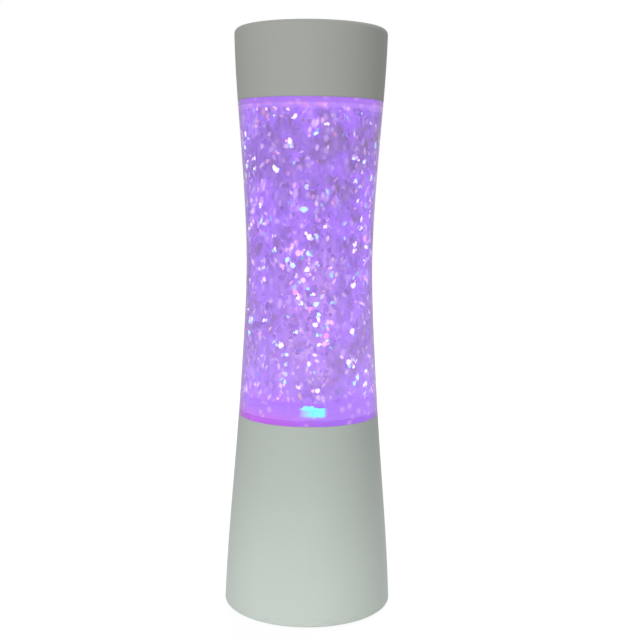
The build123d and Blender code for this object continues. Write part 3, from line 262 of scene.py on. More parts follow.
@dataclass
class Outline:
    """Outline that base, bottle and cap share: a smooth curve through points on its two flanks.

    Each pair of shares gives a share of the way up a flank and the share of the flare that it has there.
    """

    base_radius: float = 46.5
    waist_radius: float = 34.6
    top_radius: float = 41.2
    waist_height: float = 193.0
    height: float = 317.0
    lower_shares: tuple[Pair, ...] = ((0.0, 1.0), (0.17, 0.85), (0.46, 0.475), (0.75, 0.155))
    upper_shares: tuple[Pair, ...] = ((0.26, 0.15), (0.473, 0.41), (0.70, 0.73), (1.0, 1.0))
    samples: int = 3000
    curve: np.ndarray = field(init=False)

    def __post_init__(self) -> None:
        """Works out the curve: one cubic from each point to the next, timed by their distance.

        The slopes at the points are those that keep the bend even, and the two end slopes are those of the
        cubic through the four points nearest to that end.
        """
        low, high = np.array(self.lower_shares), np.array(self.upper_shares)
        waist = np.array([[self.waist_radius, self.waist_height]])
        foot_flare = [self.base_radius - self.waist_radius, self.waist_height]
        top_flare = [self.top_radius - self.waist_radius, self.height - self.waist_height]
        lower = waist + low[:, ::-1] * foot_flare - [0, self.waist_height]
        upper = waist + high[:, ::-1] * top_flare
        points = np.concatenate([lower, waist, upper])
        spans = np.hypot(*np.diff(points, axis=0).T)
        times = np.concatenate([[0.0], np.cumsum(spans)])
        steps = np.diff(points, axis=0) / spans[:, None]
        balance = np.diag(np.concatenate([[1.0], 2 * (spans[:-1] + spans[1:]), [1.0]]))
        balance += np.diag(np.append(spans[1:], 0.0), -1) + np.diag(np.append(0.0, spans[:-1]), 1)
        pull = 3 * (spans[1:, None] * steps[:-1] + spans[:-1, None] * steps[1:])
        first = np.polyfit(times[:4] - times[0], points[:4], 3)[-2:-1]
        last = np.polyfit(times[-4:] - times[-1], points[-4:], 3)[-2:-1]
        slopes = np.linalg.solve(balance, np.concatenate([first, pull, last]))
        at = np.linspace(0, times[-1], self.samples)
        span = np.clip(np.searchsorted(times, at, side="right") - 1, 0, len(spans) - 1)
        share, wide = ((at - times[span]) / spans[span])[:, None], spans[span][:, None]
        self.curve = (
            (1 + 2 * share) * (1 - share) ** 2 * points[span]
            + share * (1 - share) ** 2 * wide * slopes[span]
            + share**2 * (3 - 2 * share) * points[span + 1]
            + share**2 * (share - 1) * wide * slopes[span + 1]
        )

    def radius(self, height: np.ndarray | float) -> np.ndarray:
        """Returns the outline's radius at one or more heights."""
        return np.interp(height, self.curve[:, 1], self.curve[:, 0])

    def flank(self, low: float, high: float, inset: float = 0.0, steps: int = 48) -> np.ndarray:
        """Profile points along the outline, from one height to another.

        Args:
            low: First height.
            high: Last height, which may be the lower one.
            inset: How far the points are drawn in towards the axis.
            steps: Number of steps.

        Returns:
            Rows of radius and height.
        """
        heights = np.linspace(low, high, steps + 1)
        return np.stack([self.radius(heights) - inset, heights], axis=-1)


# Shader building


class Wire:
    """Output socket of a shader node, whose sums, products and powers add Math nodes."""

    def __init__(self, sheet: "Sheet", socket: bpy.types.NodeSocket) -> None:
        """Keeps the sheet that the socket's node is on."""
        self.sheet = sheet
        self.socket = socket

    def _math(self, operation: str, *values: SocketValue) -> "Wire":
        """Adds one Math node and returns its result."""
        return self.sheet.node("ShaderNodeMath", {"operation": operation}, dict(enumerate(values)))

    def __add__(self, other: SocketValue) -> "Wire":
        """Returns the sum of both."""
        return self._math("ADD", self, other)

    def __sub__(self, other: SocketValue) -> "Wire":
        """Returns self - other."""
        return self._math("SUBTRACT", self, other)

    def __rsub__(self, other: SocketValue) -> "Wire":
        """Returns other - self."""
        return self._math("SUBTRACT", other, self)

    def __mul__(self, other: SocketValue) -> "Wire":
        """Returns the product of both."""
        return self._math("MULTIPLY", self, other)

    __radd__ = __add__
    __rmul__ = __mul__

    def __pow__(self, other: SocketValue) -> "Wire":
        """Returns self ** other."""
        return self._math("POWER", self, other)

    def __abs__(self) -> "Wire":
        """Returns the size of the value without its sign."""
        return self._math("ABSOLUTE", self)

    def above(self, edge: SocketValue) -> "Wire":
        """Returns 1 where the value is over the edge, else 0."""
        return self._math("GREATER_THAN", self, edge)

    def larger(self, other: SocketValue) -> "Wire":
        """Returns the larger of the two values."""
        return self._math("MAXIMUM", self, other)

    def rise(self, low: float, high: float, top: float = 1.0) -> "Wire":
        """Returns a smooth rise from 0, where the value is low, to top, where it is high."""
        sockets = {"Value": self, "From Min": low, "From Max": high, "To Min": 0.0, "To Max": top}
        return self.sheet.node("ShaderNodeMapRange", {"interpolation_type": "SMOOTHSTEP"}, sockets)


class Sheet:
    """Node tree of one material, floor or world, with one method that adds any node."""

    def __init__(self, tree: bpy.types.NodeTree) -> None:
        """Clears the tree for the nodes to come."""
        self.tree = tree
        tree.nodes.clear()

    @classmethod
    def of_material(cls, name: str) -> tuple["Sheet", bpy.types.Material]:
        """Makes a new material.

        Args:
            name: Its name.

        Returns:
            Its sheet, and the material.
        """
        material = bpy.data.materials.new(name)
        material.use_nodes = True
        return cls(material.node_tree), material

    def node(
        self,
        kind: str,
        settings: Mapping[str, Any] | None = None,
        sockets: Mapping[Any, SocketValue] | None = None,
        out: Any = 0,
    ) -> Wire:
        """Adds a node.

        Args:
            kind: Blender's type name of the node.
            settings: Settings by name, set first. The setting stops gives a ramp its places and colours.
            sockets: Values or wires by the name or number of the input socket.
            out: Name or number of the output socket.

        Returns:
            The wire from the named output.
        """
        made = self.tree.nodes.new(kind)
        for name, value in (settings or {}).items():
            if name == "stops":
                self._fill_ramp(made.color_ramp, value)
            else:
                setattr(made, name, value)
        for name, value in (sockets or {}).items():
            if isinstance(value, Wire):
                self.tree.links.new(value.socket, made.inputs[name])
            else:
                made.inputs[name].default_value = value
        return Wire(self, made.outputs[out])

    @staticmethod
    def _fill_ramp(ramp: bpy.types.ColorRamp, stops: Stops) -> None:
        """Sets the stops of a colour ramp.

        Args:
            ramp: The ramp.
            stops: A place and a colour for each stop.
        """
        while len(ramp.elements) < len(stops):
            ramp.elements.new(1.0)
        for element, (place, colour) in zip(ramp.elements, stops):
            element.position = place
            element.color = (*colour, 1.0)

    def place(self, size: Sequence[float] | float = 1.0) -> Wire:
        """Object coordinates in units of a size in millimetres.

        Args:
            size: Length of one unit, along each axis or along all.

        Returns:
            The scaled coordinates.
        """
        bare = self.node("ShaderNodeTexCoord", None, None, "Object")
        scale = tuple(1 / (MILLIMETRE * float(length)) for length in np.broadcast_to(size, 3))
        return self.node("ShaderNodeMapping", {"vector_type": "POINT"}, {"Vector": bare, "Scale": scale})

    def axes(self) -> tuple[Wire, Wire, Wire]:
        """Returns the object's x, y and z in millimetres."""
        outputs = self.node("ShaderNodeSeparateXYZ", None, {0: self.place()}).socket.node.outputs
        return Wire(self, outputs[0]), Wire(self, outputs[1]), Wire(self, outputs[2])

    def off_axis(self, aside: float = 0.0) -> Wire:
        """Distance in millimetres from the lamp's axis.

        Args:
            aside: How far to the right of the lamp's own the axis stands instead.

        Returns:
            The distance.
        """
        x, y, _ = self.axes()
        x = x - aside
        return (x * x + y * y) ** 0.5

    def attribute(self, name: str) -> Wire:
        """Returns a mesh's own named value."""
        settings = {"attribute_type": "GEOMETRY", "attribute_name": name}
        return self.node("ShaderNodeAttribute", settings, None, "Fac")

    def facing(self) -> Wire:
        """Returns 0 where one looks straight at the surface and 1 where one looks along it."""
        return self.node("ShaderNodeLayerWeight", None, {"Blend": 0.5}, "Facing")

    def ray(self, kind: str) -> Wire:
        """Returns 1 on rays of one kind and 0 on all others."""
        return self.node("ShaderNodeLightPath", None, None, kind)

    def noise(self, size: Sequence[float] | float, detail: float = 2.0, rough: float = 0.5) -> Wire:
        """Returns noise from 0 to 1 around 0.5, with spots of a size in millimetres, for each axis or all."""
        sockets = {"Vector": self.place(size), "Scale": 1.0, "Detail": detail, "Roughness": rough}
        return self.node("ShaderNodeTexNoise", {"noise_dimensions": "3D"}, sockets, "Fac")

    def cells(self, size: Sequence[float] | float, out: str = "Color") -> Wire:
        """Voronoi cells, each with its own value.

        Args:
            size: Size of the cells in millimetres, along each axis or along all.
            out: Color for the cell's own value, or Distance for the distance from its middle.

        Returns:
            The value, from 0 to 1.
        """
        settings = {"voronoi_dimensions": "3D", "feature": "F1"}
        cell = self.node("ShaderNodeTexVoronoi", settings, {"Vector": self.place(size), "Scale": 1.0}, out)
        return self.node("ShaderNodeSeparateColor", None, {0: cell}) if out == "Color" else cell

    def ramp(self, value: Wire, stops: Stops) -> Wire:
        """Returns the colours of a ramp over a value from 0 to 1."""
        return self.node("ShaderNodeValToRGB", {"stops": stops}, {"Fac": value}, "Color")

    def blend(self, share: SocketValue, first: SocketValue, second: SocketValue) -> Wire:
        """Mixes two colours: all first where the share is 0 and all second where it is 1."""
        sockets = {0: share, 6: self._opaque(first), 7: self._opaque(second)}
        return self.node("ShaderNodeMix", {"data_type": "RGBA"}, sockets, 2)

    def shaded(self, colour: SocketValue, level: SocketValue) -> Wire:
        """Returns a colour times a value."""
        return self.node("ShaderNodeVectorMath", {"operation": "SCALE"}, {0: colour, "Scale": level})

    def bump(self, height: Wire, depth: float) -> Wire:
        """Returns the normal bent by a height from 0 to 1 that stands for a depth in millimetres."""
        return self.node("ShaderNodeBump", None, {"Height": height, "Distance": depth * MILLIMETRE})

    def surface(self, sockets: Mapping[str, SocketValue]) -> None:
        """Adds a Principled surface with the given sockets and joins it to the material's output."""
        opaque = {name: self._opaque(value) for name, value in sockets.items()}
        self.output(self.node("ShaderNodeBsdfPrincipled", None, opaque))

    def lit_surface(self, lit: Wire, share: float, strength: float, more: dict[str, SocketValue]) -> None:
        """Adds a surface that shines in its own colour and reflects a share of it as well."""
        own = {"Base Color": self.shaded(lit, share), "Emission Color": lit, "Emission Strength": strength}
        self.surface(own | more)

    def output(self, shader: Wire, socket: str = "Surface", kind: str = "ShaderNodeOutputMaterial") -> None:
        """Joins a shader to the tree's output node.

        Args:
            shader: The shader.
            socket: Name of the output node's socket.
            kind: Blender's type name of the output node.
        """
        found = [node for node in self.tree.nodes if node.bl_idname == kind]
        end = found[0] if found else self.tree.nodes.new(kind)
        self.tree.links.new(shader.socket, end.inputs[socket])

    @staticmethod
    def _opaque(value: SocketValue) -> SocketValue:
        """Adds an alpha of 1 to a plain colour and leaves anything else alone."""
        return (*value, 1.0) if isinstance(value, tuple) and len(value) == 3 else value


class Finish:
    """Anything that can paint the sheet of a material."""

    def paint(self, sheet: Sheet) -> None:
        """Adds the nodes of the finish to an empty sheet."""
        raise NotImplementedError

    def material(self, name: str) -> bpy.types.Material:
        """Makes a material with this finish.

        Args:
            name: Name of the material.

        Returns:
            The new material.
        """
        sheet, made = Sheet.of_material(name)
        self.paint(sheet)
        return made


# Finishes


@dataclass(frozen=True)
class Moulding(Finish):
    """Opaque moulded plastic with a drifting tone, a fine spark-eroded grain and scuffed low edges.

    Painted shade gives two heights and the share of its tone that the plastic loses from the first to the
    second, so that it is painted lighter low and darker high.
    """

    colour: Colour
    drift: float = 0.05
    drift_size: float = 46.0
    grain_size: float = 0.5
    grain_depth: float = 0.012
    grain_tone: float = 0.05
    peel_size: float = 2.6
    peel_depth: float = 0.02
    roughness: float = 0.46
    scuff_top: float = 0.0
    scuff_tone: float = 0.16
    painted_shade: tuple[float, float, float] | None = None

    def paint(self, sheet: Sheet) -> None:
        """Paints the plastic.

        Args:
            sheet: Sheet of the material.
        """
        tone = sheet.noise((self.drift_size, self.drift_size, 1.6 * self.drift_size), 3.0)
        speck = sheet.noise(self.grain_size, 1.0)
        peel = sheet.noise(self.peel_size)
        level = 1.0 + (tone - 0.5) * (2 * self.drift) + (speck - 0.5) * self.grain_tone
        height = sheet.axes()[2]
        # Painted shade: the tone is lighter at the lower height and darker at the upper one.
        if self.painted_shade:
            low, high, shade_drop = self.painted_shade
            level = level * (1 + shade_drop * (0.5 - height.rise(low, high)))
        if self.scuff_top:
            scratches = sheet.noise((6.0, 6.0, 0.5), 4.0, 0.7).rise(0.5, 0.66)
            level = level - (1 - height.rise(1.0, self.scuff_top)) * scratches * self.scuff_tone
        relief = speck * (self.grain_depth / self.peel_depth) + peel
        sheet.surface(
            {
                "Base Color": sheet.shaded(self.colour, level),
                "Roughness": self.roughness + (peel - 0.5) * 0.16,
                "Normal": sheet.bump(relief, self.peel_depth),
                "IOR": 1.5,
            }
        )


@dataclass(frozen=True)
class PlatedMetal(Finish):
    """Plated or drawn metal with fine lines along one axis and faint dulled spots."""

    colour: Colour
    roughness: float = 0.3
    line_size: tuple[float, float, float] = (0.25, 0.25, 6.0)
    line_depth: float = 0.004
    spot_size: float = 3.5

    def paint(self, sheet: Sheet) -> None:
        """Paints the metal.

        Args:
            sheet: Sheet of the material.
        """
        lines = sheet.noise(self.line_size, 2.0, 0.6)
        dull = sheet.noise(self.spot_size, 3.0, 0.6).rise(0.5, 0.75)
        sheet.surface(
            {
                "Base Color": sheet.shaded(self.colour, 0.9 + lines * 0.2 - dull * 0.15),
                "Roughness": self.roughness + (lines - 0.5) * 0.15 + dull * 0.15,
                "Metallic": 1.0,
                "Normal": sheet.bump(lines, self.line_depth),
            }
        )


@dataclass(frozen=True)
class SoftRubber(Finish):
    """Matt rubber or silicone with a dusty bloom."""

    colour: Colour
    bloom: Colour
    roughness: float = 0.8
    pore_size: float = 0.35
    pore_depth: float = 0.03

    def paint(self, sheet: Sheet) -> None:
        """Paints the rubber.

        Args:
            sheet: Sheet of the material.
        """
        dust = sheet.noise(1.8, 5.0, 0.7).rise(0.42, 0.75, 0.6)
        pores = sheet.noise(self.pore_size, 1.0)
        sheet.surface(
            {
                "Base Color": sheet.blend(dust, self.colour, self.bloom),
                "Roughness": self.roughness + dust * 0.15,
                "Normal": sheet.bump(pores, self.pore_depth),
            }
        )


@dataclass(frozen=True)
class Insulation(Finish):
    """Glossy wire insulation with slight kinks in its shine."""

    colour: Colour
    kink_size: float = 2.2
    kink_depth: float = 0.05

    def paint(self, sheet: Sheet) -> None:
        """Paints the insulation.

        Args:
            sheet: Sheet of the material.
        """
        wave = sheet.noise(self.kink_size)
        sheet.surface(
            {
                "Base Color": sheet.shaded(self.colour, 0.85 + wave * 0.3),
                "Roughness": 0.28 + wave * 0.2,
                "Normal": sheet.bump(wave, self.kink_depth),
            }
        )


@dataclass(frozen=True)
class CellWrap(Finish):
    """Dry cell lying along X: a plain dark jacket, a pale band near one end and bare steel at both ends."""

    jacket: Colour
    band: Colour
    steel: Colour
    jacket_half: float
    band_start: float

    def paint(self, sheet: Sheet) -> None:
        """Paints the cells' wrap.

        Args:
            sheet: Sheet of the material.
        """
        along = sheet.axes()[0]
        bare = abs(along).above(self.jacket_half)
        grime = sheet.noise((4.0, 1.2, 1.2), 3.0)
        jacket = sheet.shaded(self.jacket, 0.8 + grime * 0.4)
        band = sheet.shaded(self.band, 0.85 + grime * 0.3)
        wrap = sheet.blend(along.above(self.band_start), jacket, band)
        sheet.surface(
            {
                "Base Color": sheet.blend(bare, wrap, sheet.shaded(self.steel, 0.9 + grime * 0.2)),
                "Roughness": 0.3 + grime * 0.12,
                "Metallic": bare,
            }
        )


@dataclass(frozen=True)
class BoardMask(Finish):
    """White solder mask over a ring board, with tracks that show through it as fine raised rings."""

    mask: Colour
    track: Colour
    track_radii: tuple[float, ...] = (19.2, 20.6, 24.9, 26.3)
    track_half: float = 0.35
    track_rise: float = 0.04

    def paint(self, sheet: Sheet) -> None:
        """Paints the solder mask.

        Args:
            sheet: Sheet of the material.
        """
        radius = sheet.off_axis()
        soft = (0.8 * self.track_half, 1.2 * self.track_half)
        track = reduce(Wire.larger, [1 - abs(radius - ring).rise(*soft) for ring in self.track_radii])
        weave = sheet.noise(0.8)
        sheet.surface(
            {
                "Base Color": sheet.shaded(sheet.blend(track, self.mask, self.track), 0.95 + weave * 0.1),
                "Roughness": 0.35 + weave * 0.1,
                "Normal": sheet.bump(track, self.track_rise),
            }
        )


@dataclass(frozen=True)
class ClearMoulding(Finish):
    """Clear polished plastic with faint waves in its wall, painted with shade that greys it where one looks
    along it.
    """

    tint: Colour = (0.985, 0.975, 1.0)
    edge_shade: Colour = (0.66, 0.70, 0.54)
    index: float = 1.49
    roughness: float = 0.012
    wave_depth: float = 0.35

    def paint(self, sheet: Sheet) -> None:
        """Paints the clear plastic.

        Args:
            sheet: Sheet of the material.
        """
        wave = sheet.noise((22.0, 22.0, 40.0))
        rub = sheet.noise((0.7, 0.7, 9.0), 3.0, 0.6).rise(0.52, 0.8)
        sheet.surface(
            {
                # Painted shade: greyer where one looks along the wall.
                "Base Color": sheet.blend(sheet.facing().rise(0.45, 0.85), self.tint, self.edge_shade),
                "Roughness": self.roughness + rub * 0.03,
                "IOR": self.index,
                "Transmission Weight": 1.0,
                "Normal": sheet.bump(wave, self.wave_depth),
            }
        )


@dataclass(frozen=True)
class GlitterFluid(Finish):
    """Clear carrier liquid that soaks up green on a long path, so that it looks violet."""

    dye: Colour = (0.62, 0.35, 0.97)
    density: float = 9.0
    index: float = 1.33

    def paint(self, sheet: Sheet) -> None:
        """Paints the liquid.

        Args:
            sheet: Sheet of the material.
        """
        swirl = sheet.noise((14.0, 14.0, 30.0))
        sheet.surface(
            {
                "Base Color": (1.0, 1.0, 1.0),
                "Roughness": swirl * 0.004,
                "IOR": self.index,
                "Transmission Weight": 1.0,
            }
        )
        dye = {"Color": (*self.dye, 1.0), "Density": self.density}
        sheet.output(sheet.node("ShaderNodeVolumeAbsorption", None, dye), "Volume")


class Glow(Finish):
    """Something lit in the liquid, its light painted on as its own glow, with the soft masks over place that
    the lit finishes share.
    """

    @staticmethod
    def patches(sheet: Sheet) -> Wire:
        """Returns broad soft patches around 0.5, the same in the core and in the loose flakes."""
        return sheet.noise((19.0, 19.0, 26.0), 2.0, 0.6)

    @staticmethod
    def upper(z: Wire) -> Wire:
        """Returns 1 high in the liquid, under its crown, and 0 elsewhere."""
        return z.rise(200.0, 232.0) * (1 - z.rise(262.0, 275.0))

    @staticmethod
    def lower(z: Wire) -> Wire:
        """Returns 1 low in the liquid, falling to 0 above its middle."""
        return 1 - z.rise(150.0, 215.0)

    @staticmethod
    def rightwards(x: Wire) -> Wire:
        """Returns 0 on the left and 1 on the right."""
        return x.rise(-6.0, 20.0)

    @staticmethod
    def blobs(sheet: Sheet, size: Sequence[float], rarity: float = 0.62) -> Wire:
        """Returns soft round spots, one in some of the cells; rarity is the share that stays empty."""
        far = sheet.cells(size, "Distance")
        return (1 - far.rise(0.16, 0.46)) * sheet.cells(size).rise(rarity, rarity + 0.2)


@dataclass(frozen=True)
class GlitterCore(Glow):
    """Deep crowd of lit flakes, seen as one glowing mottled surface.

    Small upright cells take their tones from a ramp of mauve, violet and lilac. Broad soft patches of painted
    shade pull them towards a dusky mauve, most of all at the upper right, and a column at mid height leans to
    pink. Lilac spots are strewn over all, the lower half is paler, all of it is painted dimmer towards the
    top, and the two ends go over to a plain strong violet.
    """

    low: float
    high: float
    tones: Stops = (
        (0.36, (0.270, 0.112, 0.500)),
        (0.44, (0.340, 0.142, 0.760)),
        (0.50, (0.390, 0.158, 0.950)),
        (0.58, (0.450, 0.192, 1.000)),
        (0.67, (0.620, 0.350, 1.000)),
    )
    dusky: Stops = ((0.38, (0.225, 0.112, 0.375)), (0.62, (0.380, 0.205, 0.680)))
    pink: Stops = ((0.38, (0.44, 0.165, 0.80)), (0.62, (0.76, 0.42, 1.0)))
    lilac: Colour = (0.70, 0.46, 1.0)
    pale: Colour = (0.53, 0.35, 0.76)
    violet: Colour = (0.470, 0.205, 1.000)
    magenta: Colour = (0.640, 0.185, 0.960)
    strength: float = 0.86

    def mottled(self, sheet: Sheet, x: Wire, z: Wire, streak: Wire) -> Wire:
        """Paints the crowd's own colour, without its ends.

        Args:
            sheet: Sheet of the material.
            x: Place across, in millimetres.
            z: Height in millimetres.
            streak: Noise of upright streaks.

        Returns:
            The colour.
        """
        blot = sheet.noise((7.4, 7.4, 10.0), 1.0)
        speck = sheet.cells((2.6, 2.6, 4.2)) * 0.10 + streak * 0.42 + blot * 0.48
        crowd = sheet.ramp(speck, self.tones)
        shade = 0.30 + self.upper(z) * (self.rightwards(x) * 0.7 + 0.3) * 0.62
        dusk = self.patches(sheet).rise(0.42, 0.60) * shade
        crowd = sheet.blend(dusk, crowd, sheet.ramp(speck, self.dusky))
        column = (1 - abs(x + 1.0).rise(3.0, 20.0)) * z.rise(120.0, 150.0) * (1 - z.rise(190.0, 225.0))
        crowd = sheet.blend(column * 0.40, crowd, sheet.ramp(speck, self.pink))
        crowd = sheet.blend(self.blobs(sheet, (4.4, 4.4, 6.2)) * 0.65, crowd, self.lilac)
        crowd = sheet.blend(self.lower(z) * 0.24, crowd, self.pale)
        # Painted shade: dimmer towards the top.
        return sheet.shaded(crowd, 1.06 - z.rise(135.0, 250.0) * 0.12)

    def paint(self, sheet: Sheet) -> None:
        """Paints the glowing core.

        Args:
            sheet: Sheet of the material.
        """
        x, _, z = sheet.axes()
        streak = sheet.noise((3.4, 3.4, 5.8), 1.0)
        crown = z.rise(self.high - 9.5, self.high - 5.0)
        ends = (1 - z.rise(self.low, self.low + 12.0)).larger(crown)
        foot = 1 - z.rise(self.low, self.low + 14.0)
        strong = sheet.blend((1 - x.rise(-22.0, 4.0)) * foot * 0.5, self.violet, self.magenta)
        lit = sheet.blend(ends * 0.85, self.mottled(sheet, x, z, streak), strong)
        more = {"Roughness": 0.5 + streak * 0.2, "Normal": sheet.bump(streak, 0.25)}
        sheet.lit_surface(lit, 0.25, self.strength, more)


@dataclass(frozen=True)
class GlitterFlake(Glow):
    """Foil flakes lit from below, each with one tone along a ramp of colours.

    Gathered is the share of the tone that flakes in the same part of a shoal have in common, and soft is how
    far a flake's rim takes the glow of the liquid round it; seen edge-on, a flake's painted glint gives way
    to that glow as well. Sheen is the share of its light that the foil reflects, dusk is how much the broad
    patches of painted shade darken it, and lift is how much paler it gets low in the liquid. A little painted
    shade also darkens the upper right.
    """

    stops: Stops
    strength: float
    gathered: float = 0.0
    soft: float = 0.85
    glow: Colour = (0.415, 0.180, 0.960)
    pale: Colour = (0.50, 0.33, 0.72)
    sheen: float = 0.35
    roughness: float = 0.3
    dusk: float = 0.34
    lift: float = 0.0

    def paint(self, sheet: Sheet) -> None:
        """Paints the foil.

        Args:
            sheet: Sheet of the material.
        """
        crinkle = sheet.noise(0.9)
        patch = self.patches(sheet).rise(0.40, 0.62)
        shoal = sheet.noise((6.0, 6.0, 8.6), 1.0)
        x, _, z = sheet.axes()
        tone = sheet.attribute("tone") * (1 - self.gathered) + ((shoal - 0.5) * 3.2 + 0.5) * self.gathered
        tone = tone + (1 - z.rise(132.0, 172.0)) * self.lift
        # Seen edge-on, the flake's painted glint gives way to the glow round it.
        share = (sheet.attribute("rim") * self.soft).larger(sheet.facing().rise(0.50, 0.95) * 0.75)
        colour = sheet.blend(share, sheet.ramp(tone, self.stops), self.glow)
        colour = sheet.blend(self.lower(z) * self.lift, colour, self.pale)
        shade = self.rightwards(x) * self.upper(z) * 0.08
        lit = sheet.shaded(colour, 0.88 + crinkle * 0.3 - patch * self.dusk - shade)
        more = {"Metallic": 0.4, "Roughness": self.roughness + crinkle * 0.15}
        sheet.lit_surface(lit, self.sheen, self.strength, more)


@dataclass(frozen=True)
class SettledGlitter(Glow):
    """Bed of settled flakes that the emitters light from below: violet, with magenta towards one side."""

    violet: Colour = (0.47, 0.21, 1.00)
    magenta: Colour = (0.68, 0.19, 0.93)
    strength: float = 0.9
    grain_size: float = 1.3
    grain_depth: float = 0.4

    def paint(self, sheet: Sheet) -> None:
        """Paints the bed.

        Args:
            sheet: Sheet of the material.
        """
        x = sheet.axes()[0]
        grain = sheet.cells(self.grain_size)
        side = 1 - (x + sheet.noise(9.0) * 14.0).rise(-18.0, 16.0)
        lit = sheet.shaded(sheet.blend(side * 0.75, self.violet, self.magenta), 0.92 + grain * 0.16)
        more = {"Roughness": 0.4 + grain * 0.2, "Normal": sheet.bump(grain, self.grain_depth)}
        sheet.lit_surface(lit, 0.3, self.strength, more)


@dataclass(frozen=True)
class PaintedGlowFilm(Glow):
    """Thin film inside the wall, with the emitters' light in the liquid painted on it as a violet glow; it is
    gone between its lower and its upper band.

    Magenta gathers in it low on the left, the upper band is paler with pink smudges, and lilac spots are
    strewn over both. The lower band leaves an opening in front of the wheel's lit hub.
    """

    low_end: float = 122.0
    high_start: float = 272.5
    cover: float = 0.88
    open_x: float = 2.6
    open_half: float = 5.2
    violet: Colour = (0.448, 0.182, 1.000)
    magenta: Colour = (0.640, 0.150, 0.960)
    crown: Colour = (0.62, 0.36, 0.98)
    lilac: Colour = (0.84, 0.50, 1.0)
    pink: Colour = (0.840, 0.330, 0.930)
    strength: float = 0.88

    def paint(self, sheet: Sheet) -> None:
        """Paints the film.

        Args:
            sheet: Sheet of the material.
        """
        x, y, z = sheet.axes()
        cloud = sheet.noise((7.0, 7.0, 9.0), 2.0, 0.55)
        side = (1 - (x + cloud * 16.0).rise(-14.0, 22.0)) * (1 - z.rise(109.0, 118.0))
        lit = sheet.blend(side * 0.8, self.violet, self.magenta)
        lit = sheet.blend(z.rise(266.0, 272.0) * 0.30, lit, self.crown)
        lit = sheet.blend(self.blobs(sheet, (4.6, 4.6, 5.0), 0.5) * 0.54, lit, self.lilac)
        band = z.rise(270.0, 273.0) * (1 - z.rise(275.5, 277.5))
        smudge = sheet.noise((5.5, 5.5, 3.0), 1.0).rise(0.52, 0.66) * band
        lit = sheet.shaded(sheet.blend(smudge * 0.75, lit, self.pink), 0.92 + cloud * 0.16)
        gap = (1 - abs(x - self.open_x).rise(self.open_half, self.open_half + 3.0)) * (1 - y.rise(-10.0, 0.0))
        gap = gap * z.rise(111.6, 114.0)
        foot = (1 - (z + (cloud - 0.5) * 9.0).rise(self.low_end - 7.0, self.low_end + 2.0)) * (1 - gap)
        head = (z + (cloud - 0.5) * 3.0).rise(self.high_start, self.high_start + 3.0) * 0.75
        more = {"Roughness": 0.5 + cloud * 0.2, "Alpha": foot.larger(head) * self.cover}
        sheet.lit_surface(lit, 0.2, self.strength, more)


@dataclass(frozen=True)
class LitWheel(Glow):
    """Milky plastic that glows in one colour about an axis and takes another further out. On the wheel and
    its retainer the glow is painted light from the emitters; on the emitters' lenses it is their own light.

    Aside is how far the axis stands to the right of the lamp's own.
    """

    centre: Colour
    rim: Colour
    centre_radius: float
    rim_radius: float
    strength: float
    aside: float = 0.0
    cloud_size: float = 2.6

    def paint(self, sheet: Sheet) -> None:
        """Paints the lit plastic.

        Args:
            sheet: Sheet of the material.
        """
        cloud = sheet.noise(self.cloud_size, 3.0)
        share = (sheet.off_axis(self.aside) + cloud * 2.0).rise(self.centre_radius, self.rim_radius)
        lit = sheet.shaded(sheet.blend(share, self.centre, self.rim), 0.75 + cloud * 0.5)
        sheet.lit_surface(lit, 0.6, self.strength, {"Roughness": 0.3 + cloud * 0.15})


class Paint:
    """The finishes that the lamp's pieces and nodes share."""

    # The base is painted lighter towards its foot and darker towards its top, as shade.
    SHELL_BASE = Moulding((0.612, 0.680, 0.628), scuff_top=9.0, painted_shade=(0.0, 112.0, 0.20))
    # The cap is greyer than the base, and its darker tone is partly painted shade.
    SHELL_CAP = Moulding((0.455, 0.470, 0.436))
    PLATE = Moulding(
        (0.50, 0.55, 0.505), 0.04, grain_size=0.8, grain_depth=0.05, peel_depth=0.03, roughness=0.6
    )
    WHITE_INNER = Moulding((0.78, 0.78, 0.76), 0.03, roughness=0.42)
    STOPPER = Moulding((0.82, 0.82, 0.80), 0.03, roughness=0.32, peel_depth=0.01)
    NYLON = Moulding((0.80, 0.78, 0.70), 0.04, roughness=0.38)
    BLACK = Moulding((0.028, 0.028, 0.030), 0.25, roughness=0.42)
    EPOXY = Moulding((0.035, 0.035, 0.04), 0.2, grain_size=0.25, roughness=0.6)
    CLEAR = ClearMoulding()
    FLUID = GlitterFluid()
    SEAL = SoftRubber((0.72, 0.72, 0.70), (0.80, 0.80, 0.78), 0.6)
    FOOT = SoftRubber((0.045, 0.045, 0.047), (0.16, 0.16, 0.155))
    ZINC = PlatedMetal((0.62, 0.63, 0.66), 0.32)
    NICKEL = PlatedMetal((0.70, 0.69, 0.67), 0.2, (3.0, 0.3, 3.0))
    DRAWN = PlatedMetal((0.60, 0.61, 0.62), 0.34, (0.3, 0.3, 9.0))
    GROUND = PlatedMetal((0.66, 0.67, 0.69), 0.22, (5.0, 5.0, 0.2))
    BRASS = PlatedMetal((0.80, 0.62, 0.30), 0.3, (0.4, 0.4, 2.0))
    CELLS = CellWrap((0.035, 0.045, 0.06), (0.55, 0.42, 0.16), (0.62, 0.62, 0.62), 23.6, 15.5)
    BOARD = BoardMask((0.80, 0.81, 0.78), (0.66, 0.70, 0.64))
    LENS = LitWheel((0.75, 0.55, 1.0), (0.45, 0.25, 1.0), 20.0, 25.0, 1.2)
    WHEEL = LitWheel((0.14, 0.95, 0.96), (0.44, 0.20, 1.0), 5.2, 9.0, 1.15, 2.4)
    RETAINER = LitWheel((0.20, 0.96, 0.98), (0.22, 0.94, 0.98), 4.0, 6.0, 1.15)
    RED_WIRE = Insulation((0.50, 0.022, 0.022))
    BLACK_WIRE = Insulation((0.022, 0.022, 0.024))
    WHITE_WIRE = Insulation((0.76, 0.76, 0.74))


